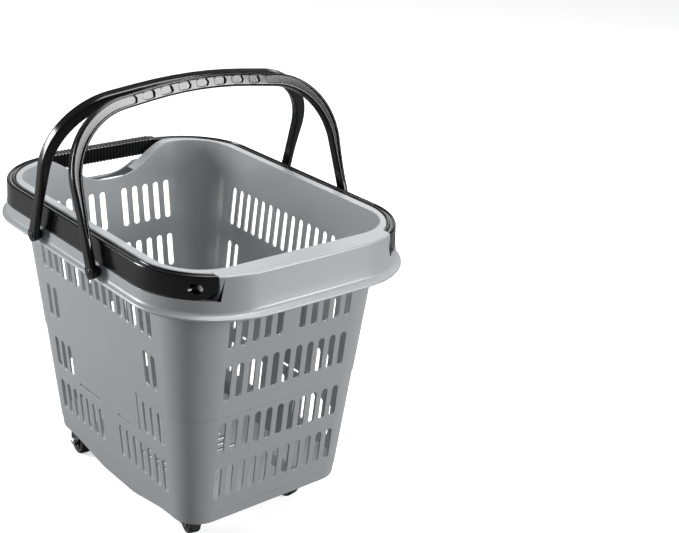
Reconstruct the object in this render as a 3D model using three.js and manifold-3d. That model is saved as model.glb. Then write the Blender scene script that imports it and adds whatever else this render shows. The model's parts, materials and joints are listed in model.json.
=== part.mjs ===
// Rolling basket trolley: a moulded basket on four swivel casters, with a pull handle nested in
// its rim and two carry handles that meet over the middle.
// Millimetres, +Z up, origin on the floor at the centre of the base.
// +X is the short side where the pull handle pivots; the long sides face +Y and -Y.

import * as THREE from "three";
import { ParametricGeometry } from "three/addons/geometries/ParametricGeometry.js";
import { mergeVertices } from "three/addons/utils/BufferGeometryUtils.js";
import Module from "manifold-3d";

// ---------------------------------------------------------------- driving dimensions

const gap = 0.3; // between pieces that sit face to face
const runGap = 0.5; // round a turning piece

// the basket stands on its wheels, so its heights rise with them
const wheelR = 19;
const bellyZ = 2 * wheelR - 3; // underside of the floor at mid length
const basketTall = 357.5; // from there to the rim's top edge

const rim = {
  topZ: bellyZ + basketTall,
  halfX: 230, // outside edge at the top
  halfY: 169,
  corner: 93,
  bow: 3.8, // the short sides swell outward by this much at the middle
  tall: 47.5, // top edge to the underside of the lip
  lipThick: 3,
  lipOutX: 12.6, // how far the lip stands outside the top edge
  lipOutY: 6.2,
  topRound: 2.2,
  skirt: 2.6,
  toWallX: 29, // from the top edge in to the outside of the wall below the lip
  toWallY: 23.4,
};
rim.lipZ = rim.topZ - rim.tall;

const tub = {
  wallRefZ: rim.lipZ - 2,
  halfX: rim.halfX - rim.toWallX, // outside of the wall at wallRefZ
  halfY: rim.halfY - rim.toWallY,
  draftX: 0.122, // wall slope, mm out per mm up
  draftY: 0.0975,
  cornerTop: 56, // plan corner radius at wallRefZ
  cornerBottom: 34,
  wall: 2.6,
  bellyZ,
  endZ: bellyZ + 15, // underside of the floor at the ends
  bellyHalf: 10, // half length of the flat belly
  bellyRun: 115, // length over which the belly rises to the ends
  footRound: 4, // roll from the wall into the floor
  stepZ: rim.lipZ - 147, // the moulded step that runs round the wall
  stepIn: 0.9,
  baseLineZ: bellyZ + 29, // the lower moulded step
  baseLineIn: 0.7,
};

// the raised housings over the casters; their sides slope by `slope` from `footZ` to the ceiling
const wells = { clear: 1.5, corner: 9, footZ: bellyZ + 3, slope: 9 };

const slot = { width: 8.4, pitch: 16.3, endSegments: 3 };
// slot rows by their depth below the lip; on the long walls each row has `count` slots on either
// side of the middle, the first of them `first` pitches from it
const rows = [
  { bottom: rim.lipZ - 56, top: rim.lipZ - 4, first: 0.5, count: 8 },
  { bottom: rim.lipZ - 124, top: rim.lipZ - 79, first: 6.5, count: 2 },
  { bottom: rim.lipZ - 197, top: rim.lipZ - 154.5, first: 5.5, count: 3 },
  { bottom: rim.lipZ - 261, top: rim.lipZ - 217, first: 1.5, count: 7 },
];
const drain = { length: 46, width: 5, pitch: 12, rowY: 34, perSide: 3 };
const sign = { slitHalf: 1.8, slitZ: rows[2].bottom - 5, slitFrom: 22, slitTo: 71 };

const pull = {
  bottomZ: rim.topZ - 26.5, // underside of the band
  thick: 10, // band thickness
  axisX: rim.halfX - 22, // pivot, its axis along Y
  axisZ: rim.topZ - 14,
  endY: rim.halfY - 51.5, // the band stops here on the +X side
  endRound: 12.6, // radius of the tail about the pivot
  gripHalf: 80,
  gripOut: 3.5,
  gripTop: rim.topZ + 3.5,
  gripBottom: rim.topZ - 19.5,
  seatOut: 8, // from the band's end out to the screw's seat
  reliefIn: 5.5, // room behind the band's ends for the swing
  reliefLong: 75, // how far that room runs back from the pivot
};

const scoop = { half: 92, depth: 35.5, ease: 1.35, pastWall: 15, steps: 14 };

const carry = {
  axisX: 68, // pivot, its axis along Y
  legIn: rim.halfY + rim.lipOutY + 1.3, // inner face of the leg, clear of the lip
  legThick: 8,
  gripThick: 15, // radial size of the grip
  width: 14, // size along the pivot's tangent
  foldGap: 12.2, // round the short side of the rim when folded
  lipGap: 3, // over the lip when folded
  bendAt: 30, // the leg starts to lean in above this
  shoulderIn: 5.9, // from the leg's line in to where it would meet the crown's line
  shoulderDown: 17.7, // and from the grip down to there
  shoulderR: 80,
  crownR: 540,
  bendR: 300,
  footR: 8,
  footIn: 3.6, // the foot's boss stands in from the leg by this much
  thickFrom: 30, // the leg thickens into the grip between these distances from the pivot
  thickTo: 150,
  edge: 1.6, // softened corner of the section
  meetGap: 1.2, // between the two grips when raised
};
carry.axisZ = rim.lipZ + rim.lipThick + carry.width / 2 + carry.lipGap;
carry.reach = rim.halfX + rim.bow + carry.foldGap - carry.axisX; // pivot to the grip's inner face
carry.shoulderY = carry.legIn - carry.shoulderIn;
carry.shoulderS = carry.reach - carry.shoulderDown;

const screw = { shank: 3, head: 5.4, headTall: 3.2, reach: 14 };
const pin = { shank: 3, head: 4.5, headTall: 1.4, bossR: 6.5, bossDeep: 12 };

const caster = {
  frontInX: 85, // from the wall's reference outline in to the swivel axis
  frontInY: 69.6,
  rearInX: 75,
  rearInY: 55.6,
  wheelR,
  tyreWide: 16,
  hubR: 13.6,
  hubWide: 17,
  hubBossR: 6.2,
  hubDish: 2.6, // depth of the ring between the hub's boss and its rim
  trail: 16, // swivel axis to axle
  cheek: 2.2,
  cheekGap: 9.4, // half distance between the cheeks
  footR: 6.5, // round end of the cheeks, about the axle
  nose: 10.5, // the fork's body ends this far ahead of the swivel axis
  tail: 9, // and this far behind the axle
  wheelClear: 4.2, // over the wheel
  bridgeThick: 2.4,
  neckR: 9,
  neckTall: 7,
  bossTall: 9.6,
  plateThick: 3,
  plateX: 46,
  plateY: 34,
  plateCorner: 5,
  bossR: 8,
  kingR: 3.7,
  kingHeadR: 6.5,
  kingHeadTall: 2.2,
  axleR: 3,
  axleHead: 5,
  nutTall: 3,
  screwX: 17.5,
  screwY: 11.5,
  screwR: 1.6,
  screwHead: 2.9,
  screwHeadTall: 1.8,
};
caster.bridgeZ = 2 * caster.wheelR + caster.wheelClear;
caster.neckTop = caster.bridgeZ + caster.bridgeThick + caster.neckTall;
caster.plateTop = caster.neckTop + runGap + caster.bossTall + caster.plateThick;
wells.ceilingZ = caster.plateTop + gap;

// each caster's swivel axis, and where it points at rest, in degrees about +Z; at 0 its wheel
// trails towards -X
const frontX = tub.halfX - caster.frontInX;
const frontY = tub.halfY - caster.frontInY;
const rearX = tub.halfX - caster.rearInX;
const rearY = tub.halfY - caster.rearInY;
const casters = [
  { name: "front_near", x: frontX, y: -frontY, turn: -13 },
  { name: "front_far", x: frontX, y: frontY, turn: 10 },
  { name: "rear_near", x: -rearX, y: -rearY, turn: -5 },
  { name: "rear_far", x: -rearX, y: rearY, turn: 14 },
];

// ---------------------------------------------------------------- solids

const wasm = await Module();
wasm.setup();

const material = (color, roughness, metalness = 0) =>
  new THREE.MeshStandardMaterial({ color, roughness, metalness });
const greyPlastic = material(0x8e9295, 0.45);
const blackPlastic = material(0x111214, 0.28);
const blackNylon = material(0x17181a, 0.5);
const rubber = material(0x0e0e0f, 0.75);
const nickel = material(0xc9cbcd, 0.25, 1);

// A closed geometry as a solid that can be joined and cut.
function solid(geometry) {
  const bare = new THREE.BufferGeometry();
  bare.setAttribute("position", geometry.getAttribute("position"));
  bare.setIndex(geometry.getIndex());
  const merged = mergeVertices(bare, 1e-4);
  const corners = merged.index.array;
  const kept = [];
  for (let i = 0; i < corners.length; i += 3) {
    const [a, b, c] = corners.slice(i, i + 3);
    if (a !== b && b !== c && c !== a) kept.push(a, b, c);
  }
  return new wasm.Manifold(
    new wasm.Mesh({
      numProp: 3,
      vertProperties: new Float32Array(merged.attributes.position.array),
      triVerts: new Uint32Array(kept),
    }),
  );
}

function geometryOf(made) {
  const out = made.getMesh();
  const geometry = new THREE.BufferGeometry();
  geometry.setAttribute("position", new THREE.BufferAttribute(out.vertProperties, 3));
  geometry.setIndex(new THREE.BufferAttribute(out.triVerts, 1));
  geometry.computeVertexNormals();
  return geometry;
}

const joinAll = (list) => list.reduce((all, one) => all.add(one));
const cutAll = (from, list) => list.reduce((left, one) => left.subtract(one), from);

// Corner stations of a rounded rectangle: each is a corner of the plan and a direction round it.
const cornerSteps = 7;
const planStations = [];
for (let corner = 0; corner < 4; corner++)
  for (let i = 0; i <= cornerSteps; i++) {
    const angle = ((corner + i / cornerSteps) * Math.PI) / 2;
    const sx = corner === 0 || corner === 3 ? 1 : -1;
    planStations.push({ sx, sy: corner < 2 ? 1 : -1, angle });
    if (i === cornerSteps && (corner === 1 || corner === 3))
      for (const t of [0.75, 0.5, 0.25]) planStations.push({ sx, sy: 2 * t - 1, side: true });
  }

// The plan outline at one station, with the short sides swelling outward.
function planPoint(station, level) {
  const { hx, hy, r, bow = 0 } = level;
  let x, y;
  if (station.side) {
    x = station.sx * hx;
    y = station.sy * (hy - r) * (station.sx < 0 ? 1 : -1);
  } else {
    x = station.sx * (hx - r) + r * Math.cos(station.angle);
    y = station.sy * (hy - r) + r * Math.sin(station.angle);
  }
  return [x + Math.sign(x) * bow * (1 - (y / hy) ** 2), y];
}

// A solid whose plan is a rounded rectangle that changes from level to level.
function loft(levels) {
  const stations = planStations.length;
  const rings = levels.length + 1;
  const place = (u, v, target) => {
    const ring = Math.round(v * rings);
    const level = levels[Math.min(Math.max(ring - 1, 0), levels.length - 1)];
    if (ring === 0 || ring === rings) return target.set(0, 0, level.z);
    const [x, y] = planPoint(planStations[Math.round(u * stations) % stations], level);
    return target.set(x, y, level.z);
  };
  return solid(new ParametricGeometry(place, stations, rings));
}

// A section swept along frames { at, out, side }; the section is a closed list of [out, side].
function sweep(frames, sectionAt) {
  const around = sectionAt(0).length;
  const rings = frames.length + 1;
  const place = (u, v, target) => {
    const ring = Math.round(v * rings);
    const i = Math.min(Math.max(ring - 1, 0), frames.length - 1);
    const { at, out, side } = frames[i];
    const section = sectionAt(i);
    const middle = section.reduce(([a, b], [c, d]) => [a + c / around, b + d / around], [0, 0]);
    const capped = ring === 0 || ring === rings;
    const [o, s] = capped ? middle : section[Math.round(u * around) % around];
    return target.copy(at).addScaledVector(out, o).addScaledVector(side, s);
  };
  return solid(new ParametricGeometry(place, around, rings));
}

function box(x0, x1, y0, y1, z0, z1) {
  const geometry = new THREE.BoxGeometry(x1 - x0, y1 - y0, z1 - z0);
  geometry.translate((x0 + x1) / 2, (y0 + y1) / 2, (z0 + z1) / 2);
  return solid(geometry);
}

// A cylinder from one end to the other along an axis: "x", "y" or "z".
function cylinder(axis, radius, from, to, centre, segments = 18) {
  const geometry = new THREE.CylinderGeometry(radius, radius, Math.abs(to - from), segments);
  const middle = (from + to) / 2;
  if (axis === "z") geometry.rotateX(Math.PI / 2).translate(centre[0], centre[1], middle);
  if (axis === "y") geometry.translate(centre[0], middle, centre[1]);
  if (axis === "x") geometry.rotateZ(Math.PI / 2).translate(middle, centre[0], centre[1]);
  return solid(geometry);
}

// Plan shapes stood up so that their own x and y become (x, z) and the depth runs along Y.
function acrossY(shapes, from, to) {
  const geometry = new THREE.ExtrudeGeometry(shapes, { depth: to - from, bevelEnabled: false });
  geometry.rotateX(Math.PI / 2).translate(0, to, 0);
  return solid(geometry);
}

// Plan shapes stood up so that their own x and y become (y, z) and the depth runs along X.
function acrossX(shapes, from, to) {
  const geometry = new THREE.ExtrudeGeometry(shapes, { depth: to - from, bevelEnabled: false });
  geometry.rotateX(Math.PI / 2).rotateZ(Math.PI / 2).translate(from, 0, 0);
  return solid(geometry);
}

// The outline of an upright slot with round ends.
function slotShape(x, bottom, top, width = slot.width) {
  const r = width / 2;
  const shape = new THREE.Shape();
  for (const [sign, z] of [[1, top - r], [-1, bottom + r]])
    for (let i = 0; i <= slot.endSegments; i++) {
      const angle = (i / slot.endSegments) * Math.PI + (sign < 0 ? Math.PI : 0);
      const px = x + r * Math.cos(angle);
      const pz = z + r * Math.sin(angle);
      if (sign > 0 && i === 0) shape.moveTo(px, pz);
      else shape.lineTo(px, pz);
    }
  return shape;
}

// Points along a line with its corners rounded: corners are { at: [a, b], r }.
function roundedLine(corners, turnStep = 0.14) {
  const points = [corners[0].at];
  for (let i = 1; i < corners.length - 1; i++) {
    const [p, q, s] = [corners[i - 1].at, corners[i].at, corners[i + 1].at];
    const into = new THREE.Vector2(q[0] - p[0], q[1] - p[1]).normalize();
    const away = new THREE.Vector2(s[0] - q[0], s[1] - q[1]).normalize();
    const turn = Math.atan2(into.cross(away), into.dot(away));
    const { r } = corners[i];
    const reach = r * Math.tan(Math.abs(turn) / 2);
    const start = [q[0] - into.x * reach, q[1] - into.y * reach];
    const heading = Math.atan2(into.y, into.x);
    const steps = Math.max(2, Math.ceil((Math.abs(turn) * Math.sqrt(r / 60)) / turnStep));
    for (let k = 0; k <= steps; k++) {
      const a = (turn * k) / steps;
      const side = Math.sign(turn);
      points.push([
        start[0] + side * r * (Math.sin(heading + a) - Math.sin(heading)),
        start[1] - side * r * (Math.cos(heading + a) - Math.cos(heading)),
      ]);
    }
  }
  points.push(corners.at(-1).at);
  return points;
}

// ---------------------------------------------------------------- basket

// The outside of the wall at a height, moved outward by `out`.
function wallAt(z, out = 0) {
  const rise = z - tub.wallRefZ;
  const t = (z - tub.bellyZ) / (tub.wallRefZ - tub.bellyZ);
  return {
    z,
    hx: tub.halfX + tub.draftX * rise + out,
    hy: tub.halfY + tub.draftY * rise + out,
    r: tub.cornerBottom + (tub.cornerTop - tub.cornerBottom) * t + out,
  };
}

// The outside of the rim at a height, moved outward by outX and outY.
function rimAt(z, outX = 0, outY = outX) {
  return {
    z,
    hx: rim.halfX + outX,
    hy: rim.halfY + outY,
    r: rim.corner + (outX + outY) / 2,
    bow: rim.bow,
  };
}

// The rim's slope between the lip and the top edge: how far out it is at a height.
const skirtOut = (z) => 0.1 * Math.max(rim.topZ - z, 0);

function rimOuter() {
  const lipTop = rim.lipZ + rim.lipThick;
  return loft([
    rimAt(rim.lipZ, rim.lipOutX - 0.6, rim.lipOutY - 0.6),
    rimAt(rim.lipZ + 1, rim.lipOutX, rim.lipOutY),
    rimAt(lipTop, rim.lipOutX, rim.lipOutY),
    rimAt(lipTop + 1.6, skirtOut(lipTop) + 2.2, skirtOut(lipTop) / 2 + 1.4),
    rimAt(lipTop + 6, skirtOut(lipTop + 6), skirtOut(lipTop + 6) / 2),
    rimAt(rim.topZ - rim.topRound, 0),
    rimAt(rim.topZ, -rim.topRound),
  ]);
}

// Everything outside the curb and above the channel's floor, except the block on the +X side.
function handleChannel() {
  const floorZ = pull.bottomZ - runGap - gap;
  const reliefTop = pull.axisZ + screw.head + 2 * runGap;
  const above = rim.topZ + 10;
  const inner = -pull.thick - runGap;
  const outside = rim.lipOutX + 10;
  const around = loft([rimAt(floorZ, outside), rimAt(above, outside)]);
  const curb = loft([rimAt(floorZ - 1, inner), rimAt(above + 1, inner)]);
  const end = pull.endY - gap;
  const block = box(0, rim.halfX * 2, -end, end, floorZ - 1, above + 1);
  const reliefOut = loft([rimAt(floorZ, inner + 1), rimAt(reliefTop, inner + 1)]);
  const reliefIn = loft([
    rimAt(floorZ - 1, inner - pull.reliefIn),
    rimAt(reliefTop + 1, inner - pull.reliefIn),
  ]);
  const ends = box(pull.axisX - pull.reliefLong, rim.halfX * 2, -rim.halfY, rim.halfY, floorZ, reliefTop);
  return around
    .subtract(curb)
    .add(reliefOut.subtract(reliefIn).intersect(ends))
    .subtract(block);
}

// The hollow under the rim, and the deeper pocket behind the +X skirt.
function rimHollow() {
  const channelUnder = pull.bottomZ - runGap - gap - rim.skirt;
  const under = loft([
    rimAt(rim.lipZ - 1, skirtOut(rim.lipZ) - rim.skirt, skirtOut(rim.lipZ) / 2 - rim.skirt),
    rimAt(channelUnder, -rim.skirt),
  ]);
  const pocketHalf = pull.endY - 20;
  const pocketTop = rim.topZ - rim.skirt;
  const pocket = loft([rimAt(channelUnder - 1, -rim.skirt), rimAt(pocketTop, -rim.skirt)]);
  const reach = box(0, rim.halfX * 2, -pocketHalf, pocketHalf, rim.lipZ, pocketTop);
  return under.add(pocket.intersect(reach));
}

// The underside of the floor along X: a flat belly that rises smoothly to the ends.
function bellyShape(lift) {
  const end = tub.halfX + 20;
  const shape = new THREE.Shape([new THREE.Vector2(-end, 0), new THREE.Vector2(end, 0)]);
  const steps = 8;
  const rise = tub.endZ - tub.bellyZ;
  const height = (t) => tub.bellyZ + lift + rise * (0.5 - 0.5 * Math.cos(Math.PI * t));
  shape.lineTo(end, height(1));
  for (const side of [1, -1])
    for (let i = 0; i <= steps; i++) {
      const t = side > 0 ? 1 - i / steps : i / steps;
      shape.lineTo(side * (tub.bellyHalf + t * tub.bellyRun), height(t));
    }
  shape.lineTo(-end, height(1));
  return shape;
}

// The inside of the wall: a wall's thickness in from every step of the outside.
function wallInside(bottom, top) {
  return loft([
    wallAt(bottom, -tub.wall - tub.stepIn - tub.baseLineIn),
    wallAt(tub.baseLineZ - 0.5, -tub.wall - tub.stepIn - tub.baseLineIn),
    wallAt(tub.baseLineZ + 0.5, -tub.wall - tub.stepIn),
    wallAt(tub.stepZ - 0.6, -tub.wall - tub.stepIn),
    wallAt(tub.stepZ + 0.6, -tub.wall),
    wallAt(top, -tub.wall),
  ]);
}

// The four raised wheel housings in the corners of the floor.
function wheelWells(grow) {
  const far = tub.halfX;
  const plan = { hx: far, hy: far, r: wells.corner };
  const outX = far - caster.plateX / 2 - wells.clear - grow;
  const outY = far - caster.plateY / 2 - wells.clear - grow;
  const one = loft([
    { ...plan, z: tub.bellyZ - 20, hx: far + wells.slope, hy: far + wells.slope },
    { ...plan, z: wells.footZ, hx: far + wells.slope, hy: far + wells.slope },
    { ...plan, z: wells.ceilingZ + grow },
  ]);
  return joinAll(
    casters.map(({ x, y }) =>
      one.translate([x + Math.sign(x) * outX, y + Math.sign(y) * outY, 0]),
    ),
  );
}

function wallSlots() {
  const short = [];
  for (let i = -5; i <= 5; i++)
    rows.forEach(({ bottom, top }, row) => {
      if (row > 0 || i !== 0) short.push(slotShape(i * slot.pitch, bottom, top));
    });

  const long = [];
  for (const { bottom, top, first, count } of rows)
    for (let i = 0; i < count; i++)
      for (const side of [1, -1])
        long.push(slotShape(side * (first + i) * slot.pitch, bottom, top));

  // slits that hold a sign panel
  for (const side of [1, -1]) {
    const [from, to] = [side * sign.slitFrom, side * sign.slitTo].sort((a, b) => a - b);
    const low = sign.slitZ - sign.slitHalf;
    const high = sign.slitZ + sign.slitHalf;
    long.push(
      new THREE.Shape([
        new THREE.Vector2(from, low),
        new THREE.Vector2(to, low),
        new THREE.Vector2(to, high),
        new THREE.Vector2(from, high),
      ]),
    );
  }
  return [
    acrossX(short, -tub.halfX * 1.4, tub.halfX * 1.4),
    acrossY(long, -tub.halfY * 1.4, tub.halfY * 1.4),
  ];
}

// The dip in the -X side of the rim, under the pull handle's grip.
function gripScoop() {
  const top = rim.topZ + 5;
  const points = [new THREE.Vector2(scoop.half + 6, top), new THREE.Vector2(-scoop.half - 6, top)];
  for (let i = 0; i <= scoop.steps; i++) {
    const t = (2 * i) / scoop.steps - 1;
    const dip = scoop.depth * 0.5 * (1 + Math.cos(Math.PI * Math.abs(t) ** scoop.ease));
    points.push(new THREE.Vector2(t * scoop.half, rim.topZ - dip));
  }
  points.reverse();
  return acrossX(new THREE.Shape(points), -rim.halfX * 1.2, -tub.halfX + scoop.pastWall);
}

function floorSlots() {
  const { length, width, pitch, rowY, perSide } = drain;
  const cuts = [];
  for (const row of [-rowY, rowY])
    for (let i = -perSide; i <= perSide; i++)
      cuts.push(slotShape(i * pitch, row - length / 2, row + length / 2, width));
  const geometry = new THREE.ExtrudeGeometry(cuts, { depth: 20, bevelEnabled: false });
  return solid(geometry.translate(0, 0, tub.bellyZ - 8));
}

function casterScrewPlaces() {
  const places = [];
  for (const { name, x, y } of casters)
    for (const ax of [1, -1])
      for (const ay of [1, -1])
        places.push({
          name: `${name}_${ax > 0 ? "a" : "b"}${ay > 0 ? "1" : "2"}`,
          x: x + ax * caster.screwX,
          y: y + ay * caster.screwY,
        });
  return places;
}

function basketTub() {
  const outside = loft([
    wallAt(tub.bellyZ, -tub.footRound),
    wallAt(tub.bellyZ + tub.footRound * 0.3, -tub.footRound * 0.3 - tub.baseLineIn),
    wallAt(tub.bellyZ + tub.footRound, -tub.baseLineIn - tub.stepIn),
    wallAt(tub.baseLineZ - 0.5, -tub.baseLineIn - tub.stepIn),
    wallAt(tub.baseLineZ + 0.5, -tub.stepIn),
    wallAt(tub.stepZ - 0.6, -tub.stepIn),
    wallAt(tub.stepZ + 0.6, 0),
    wallAt(rim.topZ - 1, 0),
  ]);
  const inside = wallInside(tub.bellyZ, rim.topZ + 8);
  const wide = tub.halfY * 2;
  const belly = acrossY(bellyShape(0), -wide, wide);
  const floorTop = acrossY(bellyShape(tub.wall), -wide, wide);
  const rimBlock = rimOuter().subtract(rimHollow());

  const hollow = inside.subtract(floorTop).subtract(wheelWells(tub.wall));
  const bosses = [];
  const holes = [];
  for (const side of [1, -1]) {
    for (const end of [1, -1]) {
      const axis = [end * carry.axisX, carry.axisZ];
      const skirtY = rim.halfY + skirtOut(carry.axisZ) / 2;
      const bossEnd = skirtY - pin.bossDeep;
      const bossR = Math.min(pin.bossR, pull.bottomZ - carry.axisZ - 1);
      bosses.push(cylinder("y", bossR, side * bossEnd, side * (skirtY - 1), axis, 20));
      holes.push(
        cylinder("y", pin.shank + gap, side * (bossEnd - 1), side * (skirtY + 4), axis, 16),
      );
    }
    const axis = [pull.axisX, pull.axisZ];
    holes.push(
      cylinder(
        "y",
        screw.shank + gap,
        side * (pull.endY - screw.reach - 2),
        side * rim.halfY,
        axis,
        16,
      ),
    );
  }
  for (const { x, y } of casterScrewPlaces())
    holes.push(
      cylinder("z", caster.screwR + gap, tub.bellyZ, wells.ceilingZ + 8, [x, y], 8),
    );

  return cutAll(joinAll([outside, rimBlock, ...bosses]), [
    hollow,
    belly,
    wheelWells(0).intersect(wallInside(tub.bellyZ - 20, rim.topZ)),
    handleChannel(),
    gripScoop(),
    floorSlots(),
    ...wallSlots(),
    ...holes,
  ]);
}

// ---------------------------------------------------------------- pull handle

function pullHandle() {
  const outer = loft([
    rimAt(pull.bottomZ, skirtOut(pull.bottomZ) * 0.3 - 1.2),
    rimAt(pull.bottomZ + 1.2, skirtOut(pull.bottomZ) * 0.3),
    rimAt(rim.topZ - 1.4, 0),
    rimAt(rim.topZ + 0.4, -2),
  ]);
  const inner = loft([
    rimAt(pull.bottomZ - 1, -pull.thick),
    rimAt(rim.topZ - 1.4, -pull.thick),
    rimAt(rim.topZ + 1, -pull.thick + 1.5),
  ]);
  const gripOuter = loft([
    rimAt(pull.gripBottom, pull.gripOut - 2),
    rimAt(pull.gripBottom + 2, pull.gripOut),
    rimAt(pull.gripTop - 3, pull.gripOut),
    rimAt(pull.gripTop, pull.gripOut - 3.5),
  ]);
  const gripInner = loft([
    rimAt(pull.gripBottom - 1, -pull.thick),
    rimAt(pull.gripTop - 2, -pull.thick),
    rimAt(pull.gripTop + 1, -pull.thick + 2.5),
  ]);
  const gripReach = box(
    -rim.halfX * 2,
    0,
    -pull.gripHalf,
    pull.gripHalf,
    pull.gripBottom - 2,
    pull.gripTop + 2,
  );
  const grip = gripOuter.subtract(gripInner).intersect(gripReach);
  const front = box(0, rim.halfX * 2, -pull.endY, pull.endY, 0, rim.topZ * 2);

  // the tail's lower edge is round about the pivot, so that it turns clear of the channel floor
  const axis = [pull.axisX, pull.axisZ];
  const wide = rim.halfY + 1;
  const tail = box(pull.axisX, rim.halfX * 2, -wide, wide, 0, pull.axisZ).subtract(
    cylinder("y", pull.endRound, -wide, wide, axis, 32),
  );
  const bores = [];
  for (const side of [1, -1]) {
    const seat = side * (pull.endY + pull.seatOut);
    bores.push(cylinder("y", screw.shank + gap, side * (pull.endY - 1), seat, axis, 16));
    bores.push(cylinder("y", screw.head + gap, seat, side * wide, axis, 24));
  }
  return cutAll(outer.subtract(inner).add(grip), [front, tail, ...bores]);
}

function pullScrew(side) {
  const axis = [pull.axisX, pull.axisZ];
  const seat = pull.endY + pull.seatOut + gap;
  const inner = pull.endY - screw.reach;
  const shank = cylinder("y", screw.shank, side * inner, side * seat, axis, 16);
  const head = cylinder("y", screw.head, side * seat, side * (seat + screw.headTall), axis, 24);
  const driver = cylinder(
    "y",
    screw.head * 0.4,
    side * (seat + screw.headTall - 1.4),
    side * (seat + screw.headTall + 1),
    axis,
    6,
  );
  return shank.add(head).subtract(driver);
}

// ---------------------------------------------------------------- carry handles

// the lean at which the raised grips' outer edges stand meetGap apart
const gripEdge = { s: carry.reach + carry.gripThick, half: carry.width / 2 };
const carryLean =
  Math.asin((carry.axisX - carry.meetGap / 2) / Math.hypot(gripEdge.s, gripEdge.half)) -
  Math.atan2(gripEdge.half, gripEdge.s);

// The inner edge of a carry handle in its own plane: [y, distance from the pivot].
function carryLine() {
  const peak = carry.reach + carry.crownR * (1 / Math.cos(crownSlope()) - 1);
  const half = [
    { at: [carry.legIn, 0] },
    { at: [carry.legIn, carry.bendAt], r: carry.bendR },
    { at: [carry.shoulderY, carry.shoulderS], r: carry.shoulderR },
  ];
  const mirrored = half.map(({ at: [y, s], r }) => ({ at: [-y, s], r })).reverse();
  return roundedLine([...half, { at: [0, peak], r: carry.crownR }, ...mirrored]);
}

// The slope of the line from the shoulder's corner to the crown's peak.
function crownSlope() {
  let slope = 0.1;
  for (let i = 0; i < 20; i++) {
    const peak = carry.reach + carry.crownR * (1 / Math.cos(slope) - 1);
    slope = Math.atan2(peak - carry.shoulderS, carry.shoulderY);
  }
  return slope;
}

// One carry handle, upright about its pivot, before it leans in.
function carryBow() {
  const line = carryLine();
  const frames = line.map(([y, s], i) => {
    const [before, after] = [line[Math.max(i - 1, 0)], line[Math.min(i + 1, line.length - 1)]];
    const along = new THREE.Vector3(0, after[0] - before[0], after[1] - before[1]).normalize();
    const out = new THREE.Vector3(0, along.z, -along.y);
    return { at: new THREE.Vector3(0, y, s), out, side: new THREE.Vector3(1, 0, 0) };
  });
  const sectionAt = (i) => {
    const rise = THREE.MathUtils.smoothstep(line[i][1], carry.thickFrom, carry.thickTo);
    const thick = carry.legThick + (carry.gripThick - carry.legThick) * rise;
    const half = carry.width / 2;
    const c = carry.edge;
    return [
      [0, -half + c],
      [0, half - c],
      [c, half],
      [thick - c, half],
      [thick, half - c],
      [thick, -half + c],
      [thick - c, -half],
      [c, -half],
    ];
  };
  let bow = sweep(frames, sectionAt);
  for (const side of [1, -1]) {
    const inFace = side * carry.legIn;
    const outFace = side * (carry.legIn + carry.legThick);
    const bossFace = side * (carry.legIn - carry.footIn);
    bow = bow.add(cylinder("y", carry.footR, inFace, outFace, [0, 0], 28));
    bow = bow.add(cylinder("y", pin.bossR, bossFace, outFace, [0, 0], 24));
  }
  for (const side of [1, -1])
    bow = bow.subtract(
      cylinder("y", pin.shank + gap, side * carry.legIn * 0.9, side * carry.legIn * 1.1, [0, 0], 16),
    );
  return bow;
}

function pivotPin(end, side) {
  const axis = [end * carry.axisX, carry.axisZ];
  const skirtY = rim.halfY + skirtOut(carry.axisZ) / 2;
  const seat = carry.legIn + carry.legThick + gap;
  const shank = cylinder("y", pin.shank, side * (skirtY - pin.bossDeep), side * seat, axis, 16);
  const head = cylinder("y", pin.head, side * seat, side * (seat + pin.headTall), axis, 24);
  return shank.add(head);
}

// ---------------------------------------------------------------- casters

// A ring turned about the Y axis: half profile in [radius, y].
function turned(profile, segments = 20) {
  const points = profile.map(([r, y]) => new THREE.Vector2(r, y));
  points.push(points[0].clone());
  return solid(new THREE.LatheGeometry(points, segments));
}

function mountPlate() {
  const top = caster.plateTop;
  const bottom = top - caster.plateThick;
  const shape = new THREE.Shape();
  const [a, b, r] = [caster.plateX / 2, caster.plateY / 2, caster.plateCorner];
  shape.moveTo(a - r, -b).absarc(a - r, -b + r, r, -Math.PI / 2, 0);
  shape.absarc(a - r, b - r, r, 0, Math.PI / 2);
  shape.absarc(-a + r, b - r, r, Math.PI / 2, Math.PI);
  shape.absarc(-a + r, -b + r, r, Math.PI, 1.5 * Math.PI);
  const flat = new THREE.ExtrudeGeometry(shape, {
    depth: caster.plateThick,
    bevelEnabled: false,
    curveSegments: 2,
  }).translate(0, 0, bottom);
  const boss = cylinder("z", caster.bossR, caster.neckTop + runGap, bottom + 1, [0, 0]);
  const holes = [cylinder("z", caster.kingR + gap, caster.neckTop - 1, top + 1, [0, 0])];
  for (const sx of [1, -1])
    for (const sy of [1, -1]) {
      const at = [sx * caster.screwX, sy * caster.screwY];
      holes.push(cylinder("z", caster.screwR + gap, bottom - 1, top + 1, at, 8));
    }
  return cutAll(solid(flat).add(boss), holes);
}

function kingpin() {
  const headTop = caster.bridgeZ - runGap;
  const shank = cylinder("z", caster.kingR, headTop - 1, wells.ceilingZ - 1, [0, 0]);
  const head = cylinder("z", caster.kingHeadR, headTop - caster.kingHeadTall, headTop, [0, 0]);
  return shank.add(head);
}

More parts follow.
